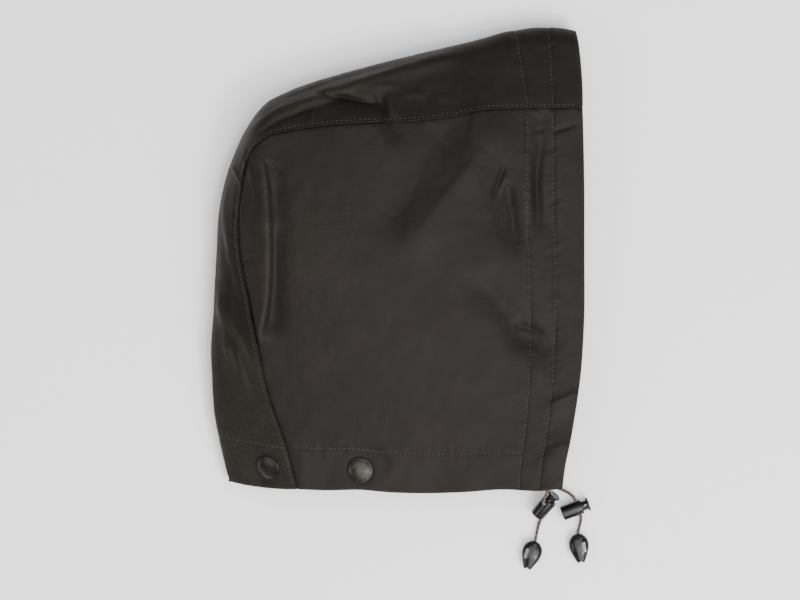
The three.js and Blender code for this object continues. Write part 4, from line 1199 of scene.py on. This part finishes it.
def build_panel(name, surface, side, cell, node):
    top = hem_height + panel_length * (1 - HEM)
    stops = [band_width - line + d for line in (TUNNEL, FACING) for d in stitch_at]
    across = with_stops(SEAM_DIP_AT[-1], band_width - EDGE - EDGE_MARGIN, cell, stops)
    xs = np.array(SEAM_DIP_AT[:-1] + across + list(band_width - edge_at[::-1]))
    up = with_stops(EDGE + EDGE_MARGIN, top - SEAM_DIP_AT[-1], cell, [hem_height + d for d in stitch_at])
    ys = np.array(list(edge_at) + up + [top - d for d in SEAM_DIP_AT[-2::-1]])
    flat_x, flat_y = np.meshgrid(xs, ys, indexing="ij")
    tuck_x = np.where(flat_x < 0, flat_x * lerp(0.1, 1, smoothstep(top - flat_y, 1, 10)), flat_x)
    over_y = (flat_y - top) * lerp(0.1, 1, smoothstep(flat_x, 1, 10))
    tuck_y = np.where(flat_y > top, top + over_y, flat_y)
    points = surface(tuck_x / band_width, hem_to_t(tuck_y))
    normals = grid_normals(points) * side
    from_corner = np.hypot(flat_x, flat_y - top)
    steady = unit(normals[(from_corner > 5) & (from_corner < 9)].mean(0))
    normals = unit(lerp(normals, steady, 1 - smoothstep(from_corner, 4, 9)[..., None]))
    from_seam = np.minimum(xs[:, None] + 0 * ys, top - ys)
    from_edge = np.minimum(band_width - xs[:, None] + 0 * ys, ys)
    dip = seam_dip(from_seam)
    sink = edge_sink(from_edge)
    extra = edge_extra(from_edge)
    outer = FLAT - dip - sink
    inner = -FLAT - extra + sink - dip * (from_seam < 5)
    outer = np.maximum(outer, inner)
    x, y = points[..., 0], points[..., 1]
    wear_and_painted_light = 0.55 * bell(from_edge, 1.6)
    # Painted light: a broad paler patch on the panel's left middle, where the cloth catches the light.
    wear_and_painted_light = wear_and_painted_light + 0.4 * pale_spot(x, y, *PANEL_PAINTED_LIGHT)
    # Sharp ridges painted paler, partly as rubbed wax and partly as painted highlight.
    if side > 0:
        wear_and_painted_light = wear_and_painted_light + 0.5 * ridge_wear_and_highlight(x, y)
    uv = np.stack([xs[:, None] + 0 * ys, 0 * xs[:, None] + ys], -1)
    piece = cloth_sheet(name, points, normals, outer, inner, uv, wear_and_painted_light, [panel_cloth, lining])
    declare(piece, node)
    return piece


near_panel = build_panel("near_panel_cloth", near_surface, 1, CELL, "side_panel_near")
far_panel = build_panel("far_panel_cloth", far_surface, -1, FAR_CELL, "side_panel_far")


# Usual widths of the gusset on both sides of its fold line, for its grid
NEAR_SIDE = 36
FAR_SIDE = 46


def build_gusset():
    fold_edge = fold_line(np.linspace(0, 1, 400))
    length = steps_along(fold_edge).sum()
    fold_lengths = lengths_along(fold_edge)
    stations = with_stops(EDGE + EDGE_MARGIN, length - EDGE - EDGE_MARGIN, CELL, [])
    ys = np.array(list(edge_at) + stations + list(length - edge_at[::-1]))
    q = np.interp(ys, fold_lengths, np.linspace(0, 1, 400))
    seam_round, seam_sink = rim_lines(0.7, 4)
    turn = np.linspace(0, math.pi / 2, 14)
    roll_at = (1 - np.cos(turn)) * ROLL / NEAR_SIDE
    curl_at = (1 - np.cos(turn)) * CURL / FAR_SIDE
    c = np.concatenate([
        seam_round / NEAR_SIDE,
        lines_between(1.3 / NEAR_SIDE, 1 - roll_at[-1] - 0.03, CELL / NEAR_SIDE),
        1 - roll_at[::-1],
        1 + curl_at[1:],
        lines_between(1 + curl_at[-1] + 0.04, 2 - 1.3 / FAR_SIDE, FAR_CELL / FAR_SIDE),
        2 - seam_round[::-1] / FAR_SIDE,
    ])
    drop = np.zeros(len(c))
    drop[: len(seam_sink)] = seam_sink
    drop[-len(seam_sink):] = seam_sink[::-1]
    qq, cc = np.meshgrid(q, c, indexing="ij")
    points = gusset_surface(qq, cc)
    normals = grid_normals(points)
    from_end = np.minimum(ys, length - ys)[:, None] + 0 * c
    sink = edge_sink(from_end)
    extra = edge_extra(from_end)
    outer = FLAT - drop - sink
    inner = -FLAT - extra + sink
    outer = np.maximum(outer, inner)
    x, y = points[..., 0], points[..., 1]
    width = np.linalg.norm(fold_line(qq) - near_seam(qq), axis=-1)
    from_fold = np.abs(cc - 1) * width
    pale_share = bell(from_fold, 5.0) * (0.35 + 0.65 * bell(y - 20, 75))
    pale_share = 0.5 * pale_share + 1.2 * pale_spot(x, y, *CORNER_RUB)
    # Sharp ridges on the gusset's upper side painted paler, partly as rubbed wax and partly as painted
    # highlight.
    wear_and_painted_light = pale_share + 0.25 * ridge_wear_and_highlight(x, y) * (cc < 1)
    wear_and_painted_light += 0.5 * bell(from_end, 1.6)
    # Painted light: the gusset's upper side grows paler towards the nape.
    wear_and_painted_light += 0.24 * smoothstep(-y, 15, 105) * (cc < 1)
    uv = np.stack([0 * qq + ys[:, None], cc * NEAR_SIDE], -1)
    piece = cloth_sheet("gusset_cloth", points, normals, outer, inner, uv, wear_and_painted_light, [gusset_cloth, lining])
    declare(piece, "gusset")
    return piece


gusset = build_gusset()


# Inner bands: rows run across the band, at places that follow the cloth round the hood
def casing_depth(s):
    """How far the face facing lies under the outer cloth, with the tunnel's room for the cord."""
    share = np.clip((1 - s) / (1 - tunnel), 0, 1)
    deep = np.minimum(np.minimum(share / CORD_FAR, (1 - share) / (1 - CORD_NEAR)), 1)
    return LAYER + TUNNEL_DEPTH * np.maximum(deep, 0)


def on_top(s):
    return lerp(CORNER, 1, s)


def build_band(name, rows, depth, across_uv, node):
    """rows is a grid of outer points, one row for each place along the band."""
    normals = grid_normals(rows)
    if normals[0, :, 2].mean() < 0:
        normals = -normals
    middle = rows - normals * depth[..., None]
    along = lengths_along(rows[:, rows.shape[1] // 2])
    uv = np.stack([0 * depth + along[:, None], 0 * depth + across_uv], -1)
    half = CLOTH / 2 - 0.1
    distance = np.minimum(across_uv - across_uv[0], across_uv[-1] - across_uv)
    sink = edge_sink(distance, half) + 0 * depth
    piece = cloth_sheet(name, middle, normals, half - sink, sink - half, uv, 0 * depth, [lining])
    declare(piece, node)
    return piece


def band_lines(low, high, cell):
    edge, _ = rim_lines(CLOTH / 2 - 0.1, 3)
    return np.array(list(low + edge) + lines_between(low + 1.2, high - 1.2, cell) + list(high - edge[::-1]))


ring = band_lines(EDGE + 0.3, FACING + 3.0, INNER_CELL)
ring_s = (1 - ring / band_width)[::-1]
up_lines = np.linspace(0.004, 0.995, 150)
round_lines = np.concatenate([
    np.linspace(0.02, 0.7, 20), np.linspace(0.74, 1.4, 34), np.linspace(1.45, 1.98, 16),
])
face_rows = np.concatenate([
    near_surface(ring_s[None], up_lines[:, None]),
    gusset_surface(on_top(ring_s)[None], round_lines[:, None]),
    far_surface(ring_s[None], up_lines[::-1, None]),
])
face_depth = casing_depth(ring_s)[None] + 0 * face_rows[..., 0]
face_band = build_band(
    "face_facing", face_rows, face_depth, (ring_s - ring_s[0]) * band_width, "face_casing",
)

hem_ring = band_lines(EDGE + 0.3, hem_height + 3.0, INNER_CELL)
hem_t = hem_to_t(hem_ring)
hem_end = facing - 0.012
side_lines = np.linspace(0.004, hem_end, 90)
hem_rows = np.concatenate([
    near_surface(side_lines[::-1, None], hem_t[None]),
    gusset_surface((hem_t * CORNER)[None], round_lines[:, None]),
    far_surface(side_lines[:, None], hem_t[None]),
])
hem_depth = LAYER + 0 * hem_rows[..., 0]
hem_band = build_band("neck_facing", hem_rows, hem_depth, hem_ring - hem_ring[0], "neck_hem")


# Stitches
def at_length(rows, lengths, where):
    return np.stack([np.interp(where, lengths, rows[:, k]) for k in range(3)], -1)


def stitches(name, paths):
    """Raised stitches along paths, each an array of surface points with their normals."""
    local = np.random.default_rng(31)
    rings = [(-1, 0), (-0.82, 0.62), (-0.4, 1), (0.4, 1), (0.82, 0.62), (1, 0)]
    sides = 6
    vertices, faces = [], []
    for points, normals, sink in paths:
        lengths = lengths_along(points)
        for centre in np.arange(PITCH * 0.5, lengths[-1] - PITCH * 0.4, PITCH):
            centre += local.uniform(-0.12, 0.12)
            half = STITCH / 2 * local.uniform(0.92, 1.08)
            start, end = (at_length(points, lengths, centre + d) for d in (-half, half))
            normal = unit(at_length(normals, lengths, centre))
            along = unit(end - start)
            across = np.cross(normal, along)
            along = unit(along + across * local.uniform(-0.07, 0.07))
            middle = (start + end) / 2 + normal * sink
            base = len(vertices)
            for place, size in rings:
                arch = (1 - place * place) * 0.16 - 0.08
                hub = middle + along * place * half + normal * arch
                if size == 0:
                    vertices.append(hub)
                    continue
                for i in range(sides):
                    angle = i / sides * 2 * math.pi
                    offset = across * math.cos(angle) * THREAD / 2
                    offset = offset + normal * math.sin(angle) * THREAD * 0.42
                    vertices.append(hub + offset * size)
            for i in range(sides):
                j = (i + 1) % sides
                faces.append((base, base + 1 + j, base + 1 + i))
                last = base + 1 + 4 * sides
                faces.append((last, last - sides + i, last - sides + j))
                for k in range(3):
                    a = base + 1 + k * sides
                    faces.append((a + i, a + j, a + sides + j, a + sides + i))
    piece = mesh_object(name, np.array(vertices) * MM, faces)
    face_outwards(piece)
    declare(piece, None, material=thread)


def along_line(surface, us, vs, alongside, side=1, sink=FLAT):
    """Points and outward normals on a surface, where alongside is a small step across the line."""
    us, vs = both(us, vs)
    points = surface(us, vs)
    other = surface(us + alongside[0], vs + alongside[1])
    tangent = np.gradient(points, axis=0)
    normals = unit(np.cross(tangent, other - points))
    return points, normals * np.sign(normals[..., 2:] * side), sink


def gusset_line(q, c, sink=FLAT):
    q, c = both(q, c)
    return gusset_surface(q, c), gusset_normal(gusset_surface, q, c), sink


fine = np.linspace(0.008, 0.985, 500)
rounds = np.linspace(0.04, 1.96, 360)
hem_lines = np.linspace(0.03, facing - 0.004, 400)
paths = []
for s_line in (tunnel, facing):
    paths.append(along_line(near_surface, s_line, fine, (0.004, 0)))
    paths.append(gusset_line(on_top(s_line), rounds))
    paths.append(along_line(far_surface, s_line, fine, (0.004, 0), -1, FLAT - 0.2))
paths.append(along_line(near_surface, hem_lines, HEM, (0, 0.004)))
paths.append(gusset_line(HEM * CORNER, rounds))
paths.append(along_line(far_surface, hem_lines, HEM, (0, 0.004), -1, FLAT - 0.2))
seam_q = np.linspace(0.006, 0.994, 900)
near_gap = np.linalg.norm(fold_line(seam_q) - near_seam(seam_q), axis=-1)
far_gap = np.linalg.norm(fold_line(seam_q) - far_seam(seam_q), axis=-1)
paths.append(gusset_line(seam_q, SEAM_STITCH / near_gap))
paths.append(gusset_line(seam_q, 2 - SEAM_STITCH / far_gap, FLAT - 0.2))
stitches("topstitch", paths)


# Snaps: the surface, its two coordinates there and which way is out
snap_spots = [
    (lambda u, v: settle(gusset_raw(u, v)), snap_up * CORNER, near_gusset_snap, 1),
    (lambda u, v: settle(near_raw(u, v)), near_panel_snap, snap_up, 1),
    (lambda u, v: lift_off(gusset_raw(u, v)), snap_up * CORNER, far_gusset_snap, 1),
    (lambda u, v: lift_off(far_raw(u, v)), far_panel_snap, snap_up, -1),
]
SHANK_END = -STACK - SOCKET_PLATE - GAP
CAP_PROFILE = [
    (0, SHANK_END - 0.5), (2.7, SHANK_END - 0.5), (3.1, SHANK_END - 0.3), (3.1, SHANK_END),
    (SHANK_RADIUS, SHANK_END), (SHANK_RADIUS, -0.15), (8, -0.15), (8.45, -0.1), (8.72, 0.12), (8.78, 0.42),
    (8.66, 0.72), (8.34, 0.92), (8.05, 0.95), (7.85, 0.98), (7.4, 1.22), (6.6, 1.52), (5.4, 1.84),
    (3.9, 2.06), (2.2, 2.17), (0.9, CAP_HEIGHT), (0, CAP_HEIGHT),
]
SOCKET_PROFILE = [
    (2.5, 0), (2.5, -SOCKET_PLATE), (SOCKET_BORE, -SOCKET_PLATE), (SOCKET_BORE, -2.2), (3.65, -2.4),
    (3.65, -2.75), (SOCKET_BORE, -3), (4.1, -3.3), (4.4, -SOCKET_HEIGHT), (5.5, -SOCKET_HEIGHT),
    (5.95, -3.25), (SOCKET_RADIUS, -2.85), (SOCKET_RADIUS, -2.2), (5.95, -2), (5.95, -1.2),
    (SOCKET_RADIUS, -1), (SOCKET_RADIUS, -0.15), (6.05, 0), (2.5, 0),
]


def snap(number, surface, u, v, side):
    """Cap on the outside of the hem with its shank through it, and socket ring on the inside."""
    centre = surface(np.float64(u), np.float64(v))
    normal = normal_of(surface, np.float64(u), np.float64(v), side)
    outside = along_frame(centre + normal * (CLOTH / 2 + GAP), normal, SIDEWAYS)
    inside = along_frame(centre + normal * (CLOTH / 2 + GAP - STACK), normal, SIDEWAYS)
    cap = lathe(f"snap_{number}_cap_dome", CAP_PROFILE, outside, 64)
    socket = lathe(f"snap_{number}_socket_ring", SOCKET_PROFILE, inside, 48)
    for piece, node in ((cap, "cap"), (socket, "socket")):
        soften(piece, 50)
        declare(piece, f"snap_{node}_{number}", material=gunmetal)


for number, spot in enumerate(snap_spots, 1):
    snap(number, *spot)


# Cords
def cord_mesh(name, node, line, step=0.22, sides=24, relief=0.14):
    """Braided cord along a line in millimetres: a tube whose surface rises where the strands cross."""
    lengths = lengths_along(line)
    at = np.linspace(0, lengths[-1], max(8, round(lengths[-1] / step)))
    points = at_length(line, lengths, at)
    tangents = unit(np.gradient(points, axis=0))
    side = unit(np.cross(tangents[0], (0.3, 0.2, 1.0)))
    turns = at / BRAID_PITCH
    vertices = []
    for point, tangent, turn in zip(points, tangents, turns):
        side = unit(side - tangent * (side @ tangent))
        up = np.cross(tangent, side)
        for i in range(sides):
            share = i / sides
            plait = max(math.sin(2 * math.pi * (2 * share + way)) for way in (turn, -turn))
            radius = CORD / 2 * (1 - relief + relief * plait)
            angle = 2 * math.pi * share
            vertices.append(point + (side * math.cos(angle) + up * math.sin(angle)) * radius)
    piece = mesh_object(name, np.array(vertices) * MM, tube_faces(len(points), sides))
    uv = piece.data.uv_layers.new(name="cloth").data
    for face in piece.data.polygons:
        wraps = any(v % sides == sides - 1 for v in face.vertices)
        for loop in face.loop_indices:
            v = piece.data.loops[loop].vertex_index
            around = v % sides
            around = sides if wraps and around == 0 else around
            uv[loop].uv = (2 * around / sides, turns[v // sides])
    declare(piece, node, material=yarn)
    return piece


cord_depth = CLOTH / 2 + TUNNEL_CLEARANCE + CORD / 2


def tunnel_line():
    """Route of the drawcord inside its tunnel: near side, brow and far side."""
    near_t = np.linspace(0.012, 0.995, 90)
    s_near, s_far = lerp(1, tunnel, CORD_NEAR), lerp(1, tunnel, CORD_FAR)
    e = 0.004
    a = near_surface(s_near, near_t)
    normal = unit(np.cross(near_surface(s_near + e, near_t) - a, np.gradient(a, axis=0)))
    near_part = a - normal * np.sign(normal[:, 2:3]) * cord_depth
    c = np.linspace(0.05, 1.95, 60)
    s_here = lerp(1, tunnel, lerp(CORD_NEAR, CORD_FAR, c / 2))
    points, normals, _ = gusset_line(on_top(s_here), c)
    round_part = points - normals * cord_depth
    b = far_surface(s_far, near_t[::-1])
    far_part = b + np.array([0, 0, cord_depth])
    route = np.concatenate([[TAILS["near"][0]], near_part, round_part, far_part, [TAILS["far"][0]]])
    return spline(np.concatenate([route[::4], route[-1:]]), 8)


cord_mesh("tunnel_cord", "drawcord", tunnel_line(), 1.2, 12, 0.05)
for tail, route in TAILS.items():
    cord_mesh(f"cord_tail_{tail}", f"drawcord_tail_{tail}", spline(route, 12))


# Cord locks
def cylinder(radius, height, matrix, sides=40):
    half = height / 2
    return lathe("cutter", [(0, -half), (radius, -half), (radius, half), (0, half)], matrix, sides)


def box(size, centre, matrix, bevel=0.0):
    bm = bmesh.new()
    bmesh.ops.create_cube(bm, size=1)
    bmesh.ops.scale(bm, vec=Vector(size) * MM, verts=bm.verts)
    if bevel:
        bmesh.ops.bevel(bm, geom=list(bm.edges), offset=bevel * MM, segments=3, profile=0.5, affect="EDGES")
    bmesh.ops.translate(bm, vec=Vector(centre) * MM, verts=bm.verts)
    bmesh.ops.transform(bm, matrix=matrix, verts=bm.verts)
    return from_bmesh("cutter", bm)


TURN = Matrix.Rotation(math.pi / 2, 4, "X")
SHOULDER = BARREL_LENGTH + NECK
HEAD_TOP = SHOULDER + HEAD_THICKNESS
BORE = STEM_RADIUS + STEM_CLEARANCE
BARREL_PROFILE = fillet(
    [
        (0, 0), (BARREL_RADIUS - BARREL_DRAFT, 0), (BARREL_RADIUS, BARREL_LENGTH), (BORE, BARREL_LENGTH),
        (BORE, BARREL_FLOOR), (0, BARREL_FLOOR),
    ],
    [0.9, 0.45, 0.35, 0.3],
)
PLUNGER_PROFILE = fillet(
    [
        (0, STEM_BOTTOM), (STEM_RADIUS, STEM_BOTTOM), (STEM_RADIUS, SHOULDER), (HEAD_RADIUS, SHOULDER),
        (HEAD_RADIUS, HEAD_TOP), (2.9, HEAD_TOP), (2.5, HEAD_TOP - 0.3), (0, HEAD_TOP - 0.35),
    ],
    [0.3, 0.25, 0.25, 0.4, 0.15, 0.1],
)


def cord_lock(name, frame_matrix):
    """Barrel with a hole across it, and a push button with a slot for the cord and a window in its neck."""
    barrel = lathe(f"lock_{name}_barrel_body", BARREL_PROFILE, frame_matrix, 56)
    hole = frame_matrix @ Matrix.Translation((0, CORD_HOLE_HEIGHT * MM, 0)) @ TURN
    carve(barrel, [cylinder(CORD_HOLE, 3 * BARREL_RADIUS, hole)])
    plunger = lathe(f"lock_{name}_plunger_button", PLUNGER_PROFILE, frame_matrix, 56)
    slot_size = (2 * CORD_HOLE, 2 * CORD_HOLE + PUSH, 3 * STEM_RADIUS)
    window_size = (3 * STEM_RADIUS, NECK_WINDOW_HEIGHT, NECK_WINDOW)
    slot = box(slot_size, (0, CORD_HOLE_HEIGHT + PUSH / 2, 0), frame_matrix, 0.4)
    window = box(window_size, (0, SHOULDER - GAP - NECK_WINDOW_HEIGHT / 2, 0), frame_matrix, 0.3)
    carve(plunger, [slot, window])
    for piece, node, body in ((barrel, "barrel", "hood"), (plunger, "plunger", f"plunger_{name}")):
        soften(piece)
        declare(piece, f"lock_{node}_{name}", body, plastic)
    return [barrel, plunger]


fittings = {}
for lock in LOCKS:
    heading, pitch, roll = (math.radians(lock[key]) for key in ("heading", "pitch", "roll"))
    across = Vector((-math.sin(heading), math.cos(heading), 0))
    level = math.cos(pitch)
    axis = Vector((math.cos(heading) * level, math.sin(heading) * level, math.sin(pitch)))
    mouth = axis.cross(across) * math.cos(roll) + across * math.sin(roll)
    matrix = along_frame((lock["x"], lock["y"], lock["z"]), axis, mouth)
    fittings[lock["name"]] = cord_lock(lock["name"], matrix)


# Cord ends
def cord_end(name, matrix, slot_side):
    """A teardrop with a flattened face, a slot right through beside its middle and two nubs at its tip."""
    stations = Curve([row[1:] for row in END_STATIONS], [row[0] for row in END_STATIONS])
    shares = np.concatenate([np.linspace(0, 0.06, 6), np.linspace(0.09, 0.94, 30), np.linspace(0.96, 1, 4)])
    sides = 48
    vertices = []
    for share in shares:
        wide, thick = np.clip(stations(share), 0.2, 1.0)
        ease = min(1.0, 0.82 + share * 6, 0.9 + (1 - share) * 5)
        for i in range(sides):
            angle = i / sides * 2 * math.pi
            ca, sa = math.cos(angle), math.sin(angle)
            x = math.copysign(abs(ca) ** END_SQUARENESS, ca) * wide * END_WIDTH / 2 * ease
            z = math.copysign(abs(sa) ** END_SQUARENESS, sa) * thick * END_THICKNESS / 2 * ease
            vertices.append(tuple(matrix @ Vector((x * MM, share * END_LENGTH * MM, z * MM))))
    piece = mesh_object(f"end_{name}_teardrop", vertices, tube_faces(len(shares), sides))
    face_outwards(piece)
    hole = cylinder(CORD_HOLE, 2 * END_HOLE_DEPTH, matrix)
    slot_size = (END_SLOT_WIDTH, END_SLOT_LENGTH, 2 * END_THICKNESS)
    slot = box(slot_size, (slot_side * END_SLOT_ASIDE, END_SLOT_ALONG, 0), matrix, 1.2)
    carve(piece, [hole, slot])
    tips = [Matrix.Translation((side * NUB_ASIDE * MM, (END_LENGTH - 0.1) * MM, 0)) for side in (-1, 1)]
    carve(piece, [lathe("cutter", NUB_PROFILE, matrix @ tip, 20) for tip in tips], "UNION")
    soften(piece, 38)
    declare(piece, f"cord_end_{name}", material=plastic)
    return piece


for end in ENDS:
    heading = math.radians(end["heading"])
    along = (math.cos(heading), math.sin(heading), 0)
    matrix = along_frame((end["x"], end["y"], END_THICKNESS / 2), along, (0, 0, 1))
    fittings[end["name"]].append(cord_end(end["name"], matrix, end["slot_side"]))


shares = np.linspace(0, 1, 120)
for piece, grid, held, rests_on in (
    (near_panel, near_raw(shares[:, None], shares[None]), "laid", ["gusset_cloth"]),
    (far_panel, far_raw(shares[:, None], shares[None]), "laid", ["floor"]),
    (gusset, gusset_raw(shares[:, None], 2 * shares[None]), "folded", ["far_panel_cloth"]),
    (face_band, face_rows, "folded", ["far_panel_cloth"]),
    (hem_band, hem_rows, "folded", ["far_panel_cloth"]),
):
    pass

# Stage
FLOOR_HALF = 3
FLOOR_DROP = 0.0002
corners = [(x * FLOOR_HALF, y * FLOOR_HALF, 0) for x, y in ((-1, -1), (1, -1), (1, 1), (-1, 1))]
floor = mesh_object("floor", corners, [(0, 1, 2, 3)], False)
floor.location.z = -FLOOR_DROP
floor.data.materials.append(floor_material())

# Soft lights, aimed at the hood: places and diameters in metres, powers in watts
LIGHTS = table(
    ["name", "place", "size", "power", "colour"],
    [
        ("key", (0.95, -1.25, 1.85), 2.4, 78, (1, 1, 1)),
        ("fill", (0.1, -0.2, 3.0), 2.2, 44, (1, 1, 1)),
        ("left", (-1.3, -0.7, 1.2), 0.9, 8, (1, 0.94, 0.87)),
        ("glint", (0.75, 0.85, 1.7), 0.3, 7, (1, 1, 1)),
        ("glint_low", (0.8, -0.9, 1.5), 0.25, 9, (1, 1, 1)),
    ],
)
for row in LIGHTS:
    data = bpy.data.lights.new(row["name"], "AREA")
    data.shape = "DISK"
    data.size = row["size"]
    data.energy = row["power"]
    data.color = row["colour"]
    light = bpy.data.objects.new(row["name"], data)
    light.location = row["place"]
    light.rotation_euler = (-Vector(row["place"])).to_track_quat("-Z", "Y").to_euler()
    bpy.context.collection.objects.link(light)

SKY_COLOUR = (0.93, 0.95, 1.0, 1)
SKY_STRENGTH = 0.6
world = bpy.data.worlds.new("studio")
world.use_nodes = True
sky = world.node_tree.nodes["Background"].inputs
sky[0].default_value = SKY_COLOUR
sky[1].default_value = SKY_STRENGTH
bpy.context.scene.world = world

# Camera: straight down, 0.70 mm to a pixel of an 800 by 600 picture at the hood's middle height
CAMERA_HEIGHT = 2.4
SEEN_HEIGHT = 0.02
PICTURE_WIDTH = 0.56
PICTURE_CENTRE = (0.001575, -0.02765)
SENSOR = 36
camera_data = bpy.data.cameras.new("camera")
camera_data.sensor_width = SENSOR
camera_data.lens = SENSOR * (CAMERA_HEIGHT - SEEN_HEIGHT) / PICTURE_WIDTH
camera = bpy.data.objects.new("camera", camera_data)
camera.location = (*PICTURE_CENTRE, CAMERA_HEIGHT)
bpy.context.collection.objects.link(camera)
bpy.context.scene.camera = camera
